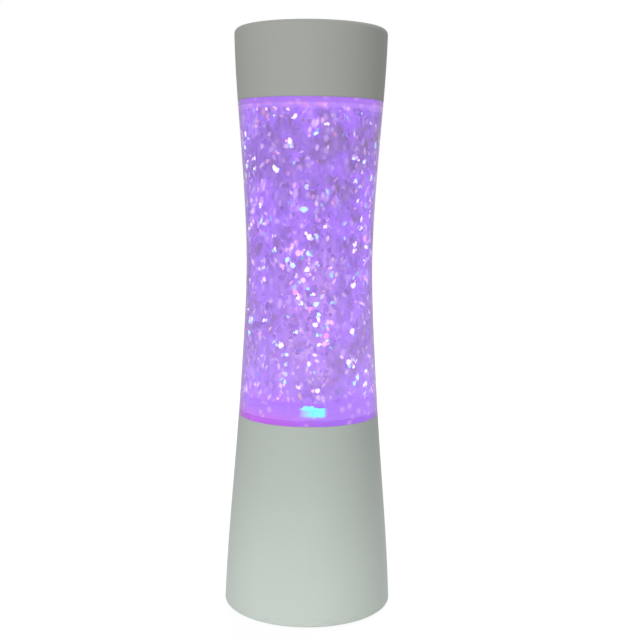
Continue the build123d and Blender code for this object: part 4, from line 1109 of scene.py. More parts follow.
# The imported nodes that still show, by their finish
NODE_FINISHES: dict[Finish, tuple[str, ...]] = {
    Paint.STOPPER: ("bottle_stopper",),
    Paint.SEAL: ("stopper_washer", "bottle_seat_ring"),
    Paint.WHEEL: ("impeller",),
    Paint.NICKEL: (
        "impeller_magnets",
        "drive_magnets",
        "positive_contact",
        "negative_contact",
        "bridge_contacts",
    ),
    Paint.GROUND: ("impeller_pin", "motor_shaft"),
    Paint.RETAINER: ("pin_retainer",),
    Paint.WHITE_INNER: ("light_deck", "motor_cradle"),
    Paint.ZINC: ("deck_screws", "board_screws", "cradle_screws", "plate_screws", "door_screw"),
    Paint.BOARD: ("emitter_board",),
    Paint.LENS: ("light_emitters",),
    Paint.EPOXY: ("board_chips",),
    Paint.DRAWN: ("motor_can",),
    Paint.NYLON: ("motor_end_cap", "drive_disc"),
    Paint.BRASS: ("motor_terminals", "door_nut"),
    Paint.CELLS: ("battery_cells",),
    Paint.PLATE: ("base_plate", "battery_door"),
    Paint.FOOT: ("rubber_feet",),
    Paint.BLACK: ("switch_housing", "switch_slider"),
    Paint.WHITE_WIRE: ("motor_leads",),
    Paint.RED_WIRE: ("battery_lead", "supply_lead"),
    Paint.BLACK_WIRE: ("return_lead",),
}


def dress(
    piece: bpy.types.Object, finish: Finish, body: Body = Body.LAMP, stands_for: str = ""
) -> None:
    """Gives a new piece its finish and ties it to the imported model.

    Args:
        piece: The new piece.
        finish: Its finish.
        body: The body that the piece rides on.
        stands_for: The node that the piece replaces, or nothing.
    """
    piece.data.materials.append(finish.material(piece.name))
    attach(piece, body.value)
    if stands_for:
        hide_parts(stands_for)
    log.info("%s: %d faces, rides on %s", piece.name, len(piece.data.polygons), body.value)


# Sub-assemblies


@dataclass
class BaseShell:
    """Hollow base: flared flank, rounded foot rim, ledge for the bottle, posts for deck and plate."""

    outline: Outline
    rim: float = 1.2
    rim_round: float = 1.4
    top: float = 108.12
    wall: float = 2.2
    lip_round: float = 0.12
    ledge_low: float = 93.6
    ledge_high: float = 96.0
    ledge_inner: float = 29.5
    ledge_chamfer: float = 0.4
    deck_top: float = 87.0
    deck_post_circle: float = 32.143
    deck_post_radius: float = 3.6
    deck_post_turns: tuple[float, ...] = (90.0, 210.0, 330.0)
    plate_post_circle: float = 36.133
    plate_post_radius: float = 4.0
    plate_post_low: float = 6.2
    plate_post_height: float = 18.0
    plate_post_turns: tuple[float, ...] = (68.0, 112.0, 248.0, 292.0)
    post_chamfer: float = 0.3
    sunk: float = 0.2
    rib_half: float = 1.0
    segments: int = 224

    def section(self) -> np.ndarray:
        """Works out the closed section of the shell.

        Returns:
            Rows of radius and height.
        """
        inner, bend, lip, chamfer = self.wall, self.rim_round, self.lip_round, self.ledge_chamfer
        ledge, ledge_top = self.ledge_inner, self.ledge_high
        foot = float(self.outline.radius(self.rim))
        top = float(self.outline.radius(self.top))
        return np.concatenate(
            [
                [[foot - inner, self.rim]],
                arc((foot - bend, self.rim + bend), bend, -90, -6),
                self.outline.flank(self.rim + bend, self.top - lip, steps=72),
                arc((top - lip, self.top - lip), lip, 10, 90, 5),
                arc((top - inner + lip, self.top - lip), lip, 90, 180, 5),
                self.outline.flank(self.top - 2 * lip, ledge_top, inner, 8),
                [[ledge + chamfer, ledge_top], [ledge, ledge_top - chamfer], [ledge, self.ledge_low]],
                self.outline.flank(self.ledge_low, self.rim + 0.3, inner, 48),
            ]
        )

    def post(self, radius: float, low: float, high: float) -> Shape:
        """Makes one round post on the axis.

        Args:
            radius: Radius of the post.
            low: Height of its chamfered foot.
            high: Height of its top.

        Returns:
            The post.
        """
        edge = self.post_chamfer
        profile = np.array([[0, low], [radius - edge, low], [radius, low + edge], [radius, high], [0, high]])
        return turned(profile, 28)

    def build(self) -> None:
        """Makes and dresses the shell."""
        shape = turned(self.section(), self.segments)
        deck = self.post(self.deck_post_radius, self.deck_top, self.ledge_low + self.sunk)
        shape += moved_round(deck, self.deck_post_circle, self.deck_post_turns)
        post_top = self.plate_post_low + self.plate_post_height
        plate = self.post(self.plate_post_radius, self.plate_post_low, post_top)
        shape += moved_round(plate, self.plate_post_circle, self.plate_post_turns)
        reach = float(self.outline.radius(post_top)) - self.wall / 2
        near = (self.plate_post_circle, -self.rib_half, self.plate_post_low)
        shape += bars(near, (reach, self.rib_half, post_top), self.plate_post_turns)
        dress(shape.piece("base_moulding"), Paint.SHELL_BASE, stands_for="base_shell")


@dataclass
class TopCap:
    """Hollow cap: flaring flank, rounded top edge, flat roof, and inside a ribbed socket over the stopper."""

    outline: Outline
    bottom: float = 278.88
    top: float = 317.0
    wall: float = 2.2
    edge_round: float = 3.0
    lip_round: float = 0.12
    roof_sag: float = 0.15
    roof_round: float = 1.0
    roof_sunk: float = 0.3
    socket_inner: float = 15.4
    socket_outer: float = 17.0
    socket_bottom: float = 303.8
    socket_chamfer: float = 0.3
    rib_half: float = 0.8
    rib_drop: float = 7.0
    rib_draft: float = 0.2
    rib_count: int = 6
    segments: int = 224

    def section(self) -> np.ndarray:
        """Works out the section of the cap, from the roof's underside round the rim to the roof's middle.

        Returns:
            Rows of radius and height.
        """
        lip, edge, bend = self.lip_round, self.edge_round, self.roof_round
        rim = float(self.outline.radius(self.bottom))
        roof_bottom = self.top - self.wall
        inside = float(self.outline.radius(roof_bottom)) - self.wall
        crown = float(self.outline.radius(self.top - edge))
        dish = np.linspace(crown - edge - 3.0, 0, 8)
        return np.concatenate(
            [
                [[0, roof_bottom], [inside - bend, roof_bottom]],
                arc((inside - bend, roof_bottom - bend), bend, 80, 0, 4),
                self.outline.flank(roof_bottom - 1.2, self.bottom + lip, self.wall, 20),
                arc((rim - self.wall + lip, self.bottom + lip), lip, 190, 270, 4),
                arc((rim - lip, self.bottom + lip), lip, -90, -10, 4),
                self.outline.flank(self.bottom + lip, self.top - edge, steps=26),
                arc((crown - edge, self.top - edge), edge, 8, 90, 12),
                np.stack([dish, self.top - self.roof_sag * (1 - (dish / (crown - edge)) ** 2)], axis=-1),
            ]
        )

    def build(self) -> None:
        """Makes and dresses the cap."""
        shape = turned(self.section(), self.segments)
        roof = self.top - self.wall + self.roof_sunk
        inner, outer = self.socket_inner, self.socket_outer
        low, edge = self.socket_bottom, self.socket_chamfer
        ring = [[inner, roof], [inner, low + edge], [inner + edge, low]]
        ring += [[outer - edge, low], [outer, low + edge], [outer, roof]]
        shape += turned(np.array(ring), 72)
        reach = float(self.outline.radius(roof - self.rib_drop)) - self.wall / 2
        near = (outer - self.rib_half, -self.rib_half, roof - self.rib_drop)
        turns = np.arange(self.rib_count) * 360 / self.rib_count
        shape += bars(near, (reach, self.rib_half, roof), turns, self.rib_draft)
        dress(shape.piece("cap_moulding"), Paint.SHELL_CAP, stands_for="top_cap")


@dataclass
class Bottle:
    """Clear bottle: hollow foot, flush belly, two spigots, domed shoulder and neck, and the liquid in it.

    Slope is how far the steps inside its two ends are drawn out, so that no dark line shows through the
    wall.
    """

    outline: Outline
    wall: float = 1.8
    foot: float = 97.0
    floor_low: float = 100.8
    floor_high: float = 103.0
    lower_spigot: float = 36.374
    upper_spigot: float = 36.911
    belly_low: float = 108.2
    belly_high: float = 278.8
    spigot_top: float = 287.5
    shoulder_top: float = 295.0
    neck: float = 12.5
    neck_top: float = 306.0
    ring_reach: float = 1.8
    ring_thickness: float = 1.4
    floor_round: float = 2.0
    slope: float = 0.9
    edge_round: float = 0.12
    foot_chamfer: float = 0.3
    fill_level: float = 283.5
    wetting: float = 0.05
    segments: int = 224

    def hollow(self, growth: float, ceiling: float) -> np.ndarray:
        """Profile of the space inside the walls, from the middle of the floor up to a ceiling.

        Args:
            growth: How far the profile goes into the wall.
            ceiling: Height at which the profile stops, under the shoulder.

        Returns:
            Rows of radius and height, upwards.
        """
        low = self.lower_spigot - self.wall + growth
        high = self.upper_spigot - self.wall + growth
        corner = self.floor_round
        floor = self.floor_high - growth
        step = self.wall + self.slope - growth
        return np.concatenate(
            [
                [[0, floor], [low - corner, floor]],
                arc((low - corner, floor + corner), corner, -78, 0, 7),
                [[low, self.belly_low - self.slope - growth]],
                self.outline.flank(self.belly_low + step, self.belly_high - step, self.wall - growth, 80),
                [[high, self.belly_high + self.slope + growth], [high, ceiling]],
            ]
        )

    def outside(self) -> np.ndarray:
        """Works out the bottle's outside, from the middle of its floor up to the neck's rim.

        Returns:
            Rows of radius and height.
        """
        edge, chamfer = self.edge_round, self.foot_chamfer
        low, high = float(self.outline.radius(self.belly_low)), float(self.outline.radius(self.belly_high))
        inner, outer = self.lower_spigot - self.wall, self.lower_spigot
        ring, ring_top = self.neck + self.ring_reach, self.shoulder_top + self.ring_thickness
        dome = (self.upper_spigot - self.neck, self.shoulder_top - self.spigot_top)
        return np.concatenate(
            [
                [[0, self.floor_low], [inner, self.floor_low], [inner, self.foot]],
                [[outer - chamfer, self.foot], [outer, self.foot + chamfer], [outer, self.belly_low]],
                arc((low - edge, self.belly_low + edge), edge, -90, -10, 4),
                self.outline.flank(self.belly_low + edge, self.belly_high - edge, steps=96),
                arc((high - edge, self.belly_high - edge), edge, 10, 90, 4),
                [[self.upper_spigot, self.belly_high], [self.upper_spigot, self.spigot_top]],
                arc((self.neck, self.spigot_top), dome, 6, 90, 14),
                [[ring, self.shoulder_top], [ring, ring_top]],
                [[self.neck, ring_top], [self.neck, self.neck_top]],
            ]
        )

    def build_wall(self) -> None:
        """Makes and dresses the bottle."""
        throat = self.neck - self.wall
        ceiling = self.spigot_top - self.wall
        reach = (self.upper_spigot - self.wall - throat, self.shoulder_top - self.spigot_top)
        dome = arc((throat, ceiling), reach, 84, 0, 14)
        inside = self.hollow(0.0, ceiling - 0.5)[::-1]
        bore = [[throat, self.neck_top], [throat, self.shoulder_top - 1.0]]
        shape = turned(np.concatenate([self.outside(), bore, dome, inside]), self.segments)
        dress(shape.piece("bottle_wall"), Paint.CLEAR, stands_for="bottle")

    def build_liquid(self) -> None:
        """Makes and dresses the liquid."""
        profile = np.concatenate([self.hollow(self.wetting, self.fill_level), [[0, self.fill_level]]])
        shape = turned(profile, self.segments)
        dress(shape.piece("liquid_body"), Paint.FLUID, stands_for="glitter_liquid")

    def build(self) -> None:
        """Makes the bottle and its liquid."""
        self.build_wall()
        self.build_liquid()


@dataclass
class Flakes:
    """Rule for a crowd of loose foil flakes between the core and the wall.

    Each pair gives the least and the most. Tallness is a flake's height as a share of its width, lean is how
    far it may tip, and streaming is the share of flakes that the streams carry off.
    """

    name: str
    count: int
    width: Pair
    tallness: Pair
    depth: Pair
    levels: Pair
    seed: int
    finish: GlitterFlake
    streaming: float = 0.0
    lean: float = 0.45
    roll: float = 0.45
    lean_limit: float = 1.25
    corner: Pair = (0.66, 1.1)


@dataclass(frozen=True)
class Spark:
    """One bright flake that the camera picks out."""

    across: float
    height: float
    size: float
    tint: Tint


@dataclass
class Sparkle:
    """Rule for the bright flakes: the loose ones, and the smaller companions that many flakes have.

    Each pair gives the least and the most. Turn is in radians from the right round the back. Half is a
    flake's half width and half height as shares of its size, and way is a companion's distance in sizes of
    its flake.
    """

    name: str = "flakes_bright"
    seed: int = 53
    loose: int = 165
    turn: Pair = (-0.25 * math.pi, 1.25 * math.pi)
    levels: Pair = (114, 272)
    depth: Pair = (0.7, 3.0)
    size: Pair = (1.7, 3.4)
    tint_shares: tuple[float, ...] = (0.32, 0.18, 0.07, 0.13, 0.16, 0.14)
    company: float = 0.46
    company_way: Pair = (0.45, 0.8)
    company_size: Pair = (0.42, 0.68)
    company_tints: tuple[Tint, ...] = (Tint.CYAN, Tint.PINK, Tint.ICE, Tint.WHITE)
    company_shares: tuple[float, ...] = (0.34, 0.26, 0.2, 0.2)
    half: tuple[Pair, Pair] = ((0.46, 0.60), (0.54, 0.80))
    lean: tuple[float, float, float] = (0.5, 0.35, 0.35)
    corner: Pair = (0.62, 1.15)
    tone_stray: float = 0.06
    placed_depth: float = 1.0


@dataclass
class Glitter:
    """Everything that floats or lies in the liquid: core, loose flakes and settled bed, and the film of
    painted glow on the wall.
    """

    outline: Outline
    inner_wall: float = 1.85
    core_low: float = 118.0
    core_high: float = 282.9
    core_depth: float = 7.2
    core_foot_round: float = 6.0
    core_top_round: float = 1.5
    core_steps: int = 192
    bed_low: float = 103.2
    bed_height: float = 6.8
    bed_radius: float = 34.35
    bed_steps: int = 160
    well_radius: float = 15.0
    film_low: float = 111.2
    film_high: float = 275.9
    film_foot: Pair = (106.0, 107.4)
    film_crown: Pair = (279.6, 281.0)
    film_head: float = 34.95
    film_gap: float = 0.15
    film: float = 0.1
    film_steps: int = 200
    foil: float = 0.12
    foil_gap: float = 0.1
    plain: float = 0.38
    bright_plain: float = 0.56
    crease: float = 60.0
    foil_crease: float = 30.0
    lilac: Stops = (
        (0.00, (0.560, 0.320, 1.000)),
        (0.40, (0.680, 0.440, 1.000)),
        (0.70, (0.840, 0.560, 1.000)),
        (1.00, (0.960, 0.780, 1.000)),
    )
    violet: Stops = (
        (0.00, (0.270, 0.122, 0.490)),
        (0.18, (0.315, 0.136, 0.640)),
        (0.38, (0.380, 0.156, 0.880)),
        (0.66, (0.445, 0.188, 1.000)),
        (0.86, (0.600, 0.340, 1.000)),
        (1.00, (0.800, 0.580, 1.000)),
    )
    bright: Stops = (
        (0.00, (1.0, 0.97, 1.0)),
        (0.16, (1.0, 0.84, 0.98)),
        (0.30, (0.94, 0.46, 0.82)),
        (0.50, (0.86, 0.24, 0.78)),
        (0.61, (0.70, 0.44, 0.98)),
        (0.72, (0.22, 0.64, 0.98)),
        (0.84, (0.34, 0.82, 0.98)),
        (1.00, (0.62, 0.93, 1.0)),
    )
    rose: Stops = ((0.0, (0.62, 0.26, 0.82)), (0.5, (0.86, 0.38, 0.88)), (1.0, (0.98, 0.56, 0.94)))
    mist: Stops = ((0.0, (0.26, 0.34, 0.92)), (0.5, (0.30, 0.55, 0.98)), (1.0, (0.50, 0.80, 1.0)))

    def core(self) -> None:
        """Makes the crowd's core: the outline drawn in by the depth and rounded at both ends.

        The radius swells by 0.35 sin(9 t + 0.31 z) + 0.25 sin(17 t - 0.53 z + 1), with t the angle and z the
        height.
        """
        low, high = self.core_low, self.core_high
        foot_round, top_round = self.core_foot_round, self.core_top_round
        flank = self.outline.flank(low + foot_round, high - top_round, self.core_depth, 120)
        foot, top = flank[0, 0] - foot_round, flank[-1, 0] - top_round
        profile = np.concatenate(
            [
                [[0, low], [foot / 2, low]],
                arc((foot, low + foot_round), foot_round, -90, -8),
                flank,
                arc((top, high - top_round), top_round, 10, 90, 5),
                [[top / 2, high], [0, high]],
            ]
        )
        turn, level = even_turns(self.core_steps)[None], profile[1:-1, 1:]
        swell = 0.35 * np.sin(9 * turn + level * 0.31) + 0.25 * np.sin(17 * turn - level * 0.53 + 1.0)
        cloud = turned(profile, self.core_steps, swell).piece("glitter_cloud", self.crease)
        dress(cloud, GlitterCore(low, high), stands_for="glitter_core")

    def bed(self) -> None:
        """Makes the settled bed: a ring round the wheel, closed underneath, that climbs the wall.

        Its height is bed height * (0.13 + 0.15 s + 0.72 s ** 7), with s the share of the way out to the
        wall, and its radius swells by 0.25 sin(7 t + r) away from the wall, with t the angle and r the
        radius.
        """
        low, radius = self.bed_low, self.bed_radius
        share = np.linspace(0, 0.985, 28)
        reach = self.well_radius + share * (radius - self.well_radius)
        climb = low + self.bed_height * (0.13 + 0.15 * share + 0.72 * share**7)
        wall = [[radius - 2.0, low], [radius - 0.1, low + 1.9], [radius, climb[-1] - 0.2]]
        top = np.stack([reach, climb], axis=-1)[::-1]
        ring = np.concatenate([wall, top, [[self.well_radius, low]]])
        turn = even_turns(self.bed_steps)[None]
        swell = np.where(ring[:, :1] > radius - 2.5, 0.0, 0.25) * np.sin(7 * turn + ring[:, :1])
        bed = turned(ring, self.bed_steps, swell).piece("settled_bed", self.crease)
        dress(bed, SettledGlitter(), stands_for="settled_glitter")

    def haze(self) -> None:
        """Makes the film of painted glow on the wall: a closed sleeve under the bottle's inner face, over bed
        and crowd.
        """
        near = self.inner_wall + self.film_gap
        outside = self.outline.flank(self.film_low, self.film_high, near, 140)
        inside = self.outline.flank(self.film_high, self.film_low, near + self.film, 140)
        foot = np.array([[self.bed_radius + 0.05, height] for height in self.film_foot])
        head = np.array([[self.film_head, height] for height in self.film_crown])
        thick = [self.film, 0.0]
        front = np.concatenate([foot + thick, outside, head])
        back = np.concatenate([head[::-1] - thick, inside, foot[::-1]])
        sleeve = turned(np.concatenate([front, back]), self.film_steps).piece("painted_glow_film", self.crease)
        dress(sleeve, PaintedGlowFilm())

    def hexagons(
        self,
        centre: np.ndarray,
        half: np.ndarray,
        lean: np.ndarray,
        corners: np.ndarray,
        tones: np.ndarray,
        plain: float,
    ) -> Shape:
        """Makes thin six-sided flakes.

        Corner k of a flake lies at centre + c_k (half width * cos(60 k) * side + half height * sin(60 k) *
        rise), plus or minus half the thickness along its normal. Side, rise and normal are the tangent, the
        vertical and the outward direction there, turned by the flake's three leaning angles, and c_k is the
        corner's own reach. A smaller ring of corners inside that one bounds the flake's plain middle.

        Args:
            centre: Middle of each flake.
            half: Half width and half height of each flake.
            lean: Angles in radians about the outward, vertical and tangent direction.
            corners: Reach of the six corners of each flake, 1 on a whole hexagon.
            tones: Tone of each flake.
            plain: Reach of the plain middle, as a share of the flake's own.

        Returns:
            The flakes as one shape, drawn inwards where a corner would come through the wall.
        """
        out = outwards(centre)
        up = np.broadcast_to([0.0, 0.0, 1.0], out.shape)
        side = np.cross(up, out)
        roll, yaw, pitch = lean.T[:, :, None]
        side, up = side * np.cos(roll) + up * np.sin(roll), up * np.cos(roll) - side * np.sin(roll)
        side, face = side * np.cos(yaw) + out * np.sin(yaw), out * np.cos(yaw) - side * np.sin(yaw)
        up, face = up * np.cos(pitch) + face * np.sin(pitch), face * np.cos(pitch) - up * np.sin(pitch)
        angles = np.radians(np.arange(6) * 60.0)[None, :, None]
        rim = half[:, None, :1] * np.cos(angles) * side[:, None]
        rim = (rim + half[:, None, 1:] * np.sin(angles) * up[:, None]) * corners[:, :, None]
        lift = self.foil / 2 * face[:, None]
        rings = [rim + lift, rim * plain + lift, rim - lift, rim * plain - lift]
        points = centre[:, None] + np.concatenate(rings, axis=1)
        reach = np.hypot(points[..., 0], points[..., 1])
        room = self.outline.radius(points[..., 2]) - self.inner_wall - self.foil_gap
        over = np.maximum((reach - room).max(axis=1), 0.0)
        points -= over[:, None, None] * out[:, None]
        start = 24 * np.arange(len(centre))[:, None]
        front, back = start + np.arange(6, 12), start + np.arange(23, 17, -1)
        here, after = np.arange(6), (np.arange(6) + 1) % 6
        joined = ((12, 0), (0, 6), (18, 12))
        bands = [np.stack([one + here, one + after, two + after, two + here], axis=-1) for one, two in joined]
        sides = (start[:, :, None] + np.concatenate(bands)[None]).reshape(-1, 4)
        edges = np.tile(np.repeat([1.0, 0.0, 1.0, 0.0], 6), len(centre))
        values = {"tone": np.repeat(tones, 24), "rim": edges}
        return Shape(points.reshape(-1, 3), front.tolist() + back.tolist() + sides.tolist(), values)

    def crowd(self, rule: Flakes) -> None:
        """Scatters a crowd of flakes by its rule.

        Angle and height are even over the wall, less the flakes that the streams have carried off: streams
        rise as cos(2 turn) ** 6 at mid height, and a swirl runs round as sin(5 turn + 0.12 height). Depth
        under the wall, width, tallness, tone and the corners' reach are even between their limits, and
        leaning is normal about upright.

        Args:
            rule: Numbers, sizes and finish of the crowd.
        """
        chance = np.random.default_rng(rule.seed)
        turn = chance.uniform(0, 2 * np.pi, 3 * rule.count)
        height = chance.uniform(*rule.levels, 3 * rule.count)
        stream = np.cos(2 * (turn + np.pi / 2) - (height - 165.0) * 0.012) ** 6
        stream = stream * np.exp(-(((height - 172.0) / 42.0) ** 2))
        swirl = 0.5 + 0.5 * np.sin(5 * turn + height * 0.12)
        chosen = chance.random(len(turn)) < 1 - rule.streaming * (1 - np.clip(stream + 0.5 * swirl, 0, 1))
        turn, height = turn[chosen][: rule.count], height[chosen][: rule.count]
        count = len(turn)
        reach = self.outline.radius(height) - self.inner_wall - chance.uniform(*rule.depth, count)
        width = chance.uniform(*rule.width, count)
        half = np.stack([width, width * chance.uniform(*rule.tallness, count)], axis=-1) / 2
        lean = chance.normal(0, 1, (count, 3)) * [rule.roll, rule.lean, rule.lean]
        lean[:, 1:] = np.clip(lean[:, 1:], -rule.lean_limit, rule.lean_limit)
        tones = chance.uniform(0.0, 1.0, count)
        corners = chance.uniform(*rule.corner, (count, 6))
        shape = self.hexagons(round_axis(reach, turn, height), half, lean, corners, tones, self.plain)
        dress(shape.piece(rule.name, self.foil_crease), rule.finish)

    def sparks(self, front: Sequence[Spark], rule: Sparkle, finish: GlitterFlake) -> None:
        """Sets the bright flakes: those of the front by their places, loose ones round sides and back.

        A front flake lies at (across, -sqrt(r * r - across * across), height), with r a little under the
        wall. Many flakes have a smaller companion or two beside them, each in a way of its own.

        Args:
            front: Flakes of the front.
            rule: Numbers and sizes of the others.
            finish: The flakes' finish.
        """
        chance = np.random.default_rng(rule.seed)
        across, level, size = np.array([[spark.across, spark.height, spark.size] for spark in front]).T
        radius = self.outline.radius(level) - self.inner_wall - rule.placed_depth
        placed = np.stack([across, -np.sqrt(np.maximum(radius**2 - across**2, 1.0)), level], axis=-1)
        turn = chance.uniform(*rule.turn, rule.loose)
        height = chance.uniform(*rule.levels, rule.loose)
        wall = self.outline.radius(height) - self.inner_wall - chance.uniform(*rule.depth, rule.loose)
        tints = chance.choice([tint.value for tint in Tint], rule.loose, p=rule.tint_shares)
        centre = np.concatenate([placed, round_axis(wall, turn, height)])
        size = np.concatenate([size, chance.uniform(*rule.size, rule.loose)])
        tones = np.concatenate([[spark.tint.value for spark in front], tints])
        home = np.flatnonzero(chance.random(2 * len(size)) < rule.company) % len(size)
        way = chance.uniform(0, 2 * np.pi, len(home))[:, None]
        far = (size[home] * chance.uniform(*rule.company_way, len(home)))[:, None]
        up = np.array([[0.0, 0.0, 1.0]])
        beside = np.cross(up, outwards(centre[home])) * np.cos(way) + up * np.sin(way)
        centre = np.concatenate([centre, centre[home] + beside * far])
        size = np.concatenate([size, size[home] * chance.uniform(*rule.company_size, len(home))])
        near = [tint.value for tint in rule.company_tints]
        tones = np.concatenate([tones, chance.choice(near, len(home), p=rule.company_shares)])
        half = size[:, None] * np.stack([chance.uniform(*limits, len(size)) for limits in rule.half], axis=-1)
        lean = chance.normal(0, 1, (len(size), 3)) * rule.lean
        corners = chance.uniform(*rule.corner, (len(size), 6))
        tones = np.clip(tones + chance.uniform(-rule.tone_stray, rule.tone_stray, len(size)), 0, 1)
        shape = self.hexagons(centre, half, lean, corners, tones, self.bright_plain)
        dress(shape.piece(rule.name, self.foil_crease), finish)

    def build(self) -> None:
        """Makes all the glitter."""
        self.core()
        self.bed()
        self.haze()
        foil = GlitterFlake(self.violet, 0.90, gathered=0.62, lift=0.20)
        pale = GlitterFlake(self.lilac, 0.92, gathered=0.2, dusk=0.25)
        rose = GlitterFlake(self.rose, 0.9)
        mist = GlitterFlake(self.mist, 0.9)
        crowds = (
            Flakes("flakes_deep", 1500, (2.2, 4.0), (1.2, 1.9), (3.4, 5.4), (120, 274), 11, foil),
            Flakes("flakes_near", 820, (1.8, 3.3), (1.3, 2.2), (1.2, 3.4), (120, 273), 23, foil),
            Flakes("flakes_pale", 430, (2, 3.7), (1.3, 2.2), (0.6, 3.2), (120, 275.5), 29, pale, 0.75, 0.42),
            Flakes("flakes_rose", 240, (1.8, 3.2), (1.2, 2.0), (0.5, 3.0), (119, 275.5), 37, rose, 0.8),
            Flakes("flakes_mist", 110, (1.6, 2.8), (1.2, 2.0), (0.5, 3.2), (119, 272), 41, mist, 0.5),
        )
        for rule in crowds:
            self.crowd(rule)
        # The bright flakes' light is painted glint.
        glint = GlitterFlake(self.bright, 1.12, glow=(0.52, 0.28, 1.0), sheen=0.5, roughness=0.25, dusk=0.0)
        self.sparks(FRONT_SPARKS, Sparkle(), glint)


# Bright flakes of the front: across, height, size and tint, picked on the enlarged photograph. 43 of them
# were typed in millimetres. The other 53 were typed in pixels, carried into the liquid by a scratch script
# with the fitted camera, and rounded to half a millimetre. All sizes were scaled afterwards.
FRONT_SPARKS = tuple(
    Spark(*row)
    for row in (
        (7.5, 275.0, 2.2, Tint.WHITE), (19.5, 275.0, 1.9, Tint.PINK), (-26.5, 273.5, 1.9, Tint.PINK),
        (-11.0, 273.0, 1.8, Tint.WHITE), (-22.0, 273.0, 2.1, Tint.PINK), (-17.0, 273.0, 1.8, Tint.PINK),
        (-18.0, 269.5, 1.8, Tint.ICE), (-7.5, 269.0, 2.8, Tint.WHITE), (33.0, 266.0, 1.6, Tint.MAGENTA),
        (9.0, 265.5, 2.2, Tint.WHITE), (3.0, 260.5, 2.1, Tint.ICE), (-10.0, 257.0, 3.5, Tint.WHITE),
        (-9.5, 254.0, 2.5, Tint.CYAN), (-16.0, 250.5, 2.1, Tint.PINK), (-31.5, 246.5, 2.1, Tint.WHITE),
        (27.5, 246.5, 2.4, Tint.ICE), (-27.5, 243.0, 2.6, Tint.PINK), (-17.5, 242.5, 3.5, Tint.WHITE),
        (26.5, 241.0, 1.9, Tint.PINK), (23.5, 236.5, 2.5, Tint.ICE), (-1.5, 233.0, 2.1, Tint.CYAN),
        (31.0, 225.5, 1.8, Tint.CYAN), (-25.0, 224.0, 2.4, Tint.WHITE), (-2.5, 221.5, 4.0, Tint.ICE),
        (-29.5, 213.0, 2.1, Tint.WHITE), (8.0, 213.0, 1.9, Tint.WHITE), (26.5, 212.0, 2.7, Tint.WHITE),
        (3.5, 208.5, 2.6, Tint.CYAN), (-18.5, 207.5, 2.1, Tint.ICE), (0.0, 207.5, 3.3, Tint.WHITE),
        (23.5, 203.0, 2.9, Tint.WHITE), (-8.5, 203.0, 2.1, Tint.LILAC), (-17.5, 201.0, 1.8, Tint.WHITE),
        (-3.5, 199.5, 2.2, Tint.LILAC), (-5.5, 199.0, 3.4, Tint.PINK), (-0.5, 199.0, 2.4, Tint.ICE),
        (-11.0, 195.5, 2.8, Tint.ICE), (0.0, 195.5, 2.2, Tint.LILAC), (28.0, 194.5, 1.9, Tint.ICE),
        (4.0, 194.0, 2.1, Tint.LILAC), (-8.5, 192.5, 2.8, Tint.ICE), (-13.5, 192.0, 2.9, Tint.LILAC),
        (10.5, 191.0, 2.1, Tint.LILAC), (-1.0, 190.5, 2.9, Tint.WHITE), (0.5, 188.0, 2.2, Tint.LILAC),
        (11.5, 187.5, 2.4, Tint.CYAN), (-6.5, 186.5, 2.2, Tint.LILAC), (23.0, 186.0, 1.7, Tint.CYAN),
        (-3.0, 185.0, 3.6, Tint.PINK), (28.5, 184.5, 2.1, Tint.MAGENTA), (13.0, 184.0, 3.1, Tint.LILAC),
        (-0.5, 180.5, 2.2, Tint.CYAN), (-7.0, 178.5, 2.8, Tint.MAGENTA), (2.5, 177.5, 1.9, Tint.WHITE),
        (7.0, 176.5, 2.6, Tint.LILAC), (-5.5, 175.5, 2.6, Tint.WHITE), (24.0, 173.0, 1.9, Tint.MAGENTA),
        (-3.5, 173.0, 2.4, Tint.WHITE), (12.0, 173.0, 2.4, Tint.CYAN), (4.0, 172.5, 3.3, Tint.ICE),
        (-1.0, 170.5, 2.4, Tint.LILAC), (1.0, 170.0, 2.4, Tint.MAGENTA), (5.5, 167.0, 2.6, Tint.ICE),
        (-10.5, 165.5, 2.1, Tint.CYAN), (5.0, 164.5, 3.4, Tint.WHITE), (-23.0, 162.5, 2.1, Tint.WHITE),
        (12.0, 162.5, 2.9, Tint.PINK), (-29.5, 162.0, 2.9, Tint.ICE), (3.5, 161.5, 3.6, Tint.WHITE),
        (9.5, 160.5, 2.2, Tint.CYAN), (-4.0, 158.5, 1.9, Tint.LILAC), (-6.0, 157.5, 2.2, Tint.ICE),
        (22.5, 157.0, 3.3, Tint.WHITE), (4.5, 156.0, 2.2, Tint.ICE), (9.0, 155.5, 3.4, Tint.MAGENTA),
        (-18.0, 151.5, 1.7, Tint.CYAN), (8.5, 151.5, 2.8, Tint.LILAC), (5.5, 151.0, 2.4, Tint.WHITE),
        (-14.0, 150.0, 3.4, Tint.WHITE), (3.5, 145.5, 2.7, Tint.WHITE), (-11.0, 145.5, 2.1, Tint.ICE),
        (17.5, 144.0, 2.1, Tint.PINK), (21.0, 141.0, 3.3, Tint.WHITE), (0.5, 141.0, 2.2, Tint.WHITE),
        (-11.5, 140.0, 2.1, Tint.CYAN), (23.5, 138.0, 2.1, Tint.WHITE), (-11.5, 135.0, 2.6, Tint.CYAN),
        (25.5, 132.0, 2.6, Tint.ICE), (-12.0, 131.0, 2.7, Tint.ICE), (24.0, 129.0, 2.1, Tint.CYAN),
        (-4.5, 128.5, 1.9, Tint.WHITE), (5.0, 127.0, 3.1, Tint.WHITE), (2.5, 126.5, 2.2, Tint.PINK),
        (-15.5, 122.0, 1.8, Tint.PINK), (-22.5, 118.5, 1.9, Tint.PINK), (-31.5, 118.5, 1.7, Tint.PINK),
    )
)


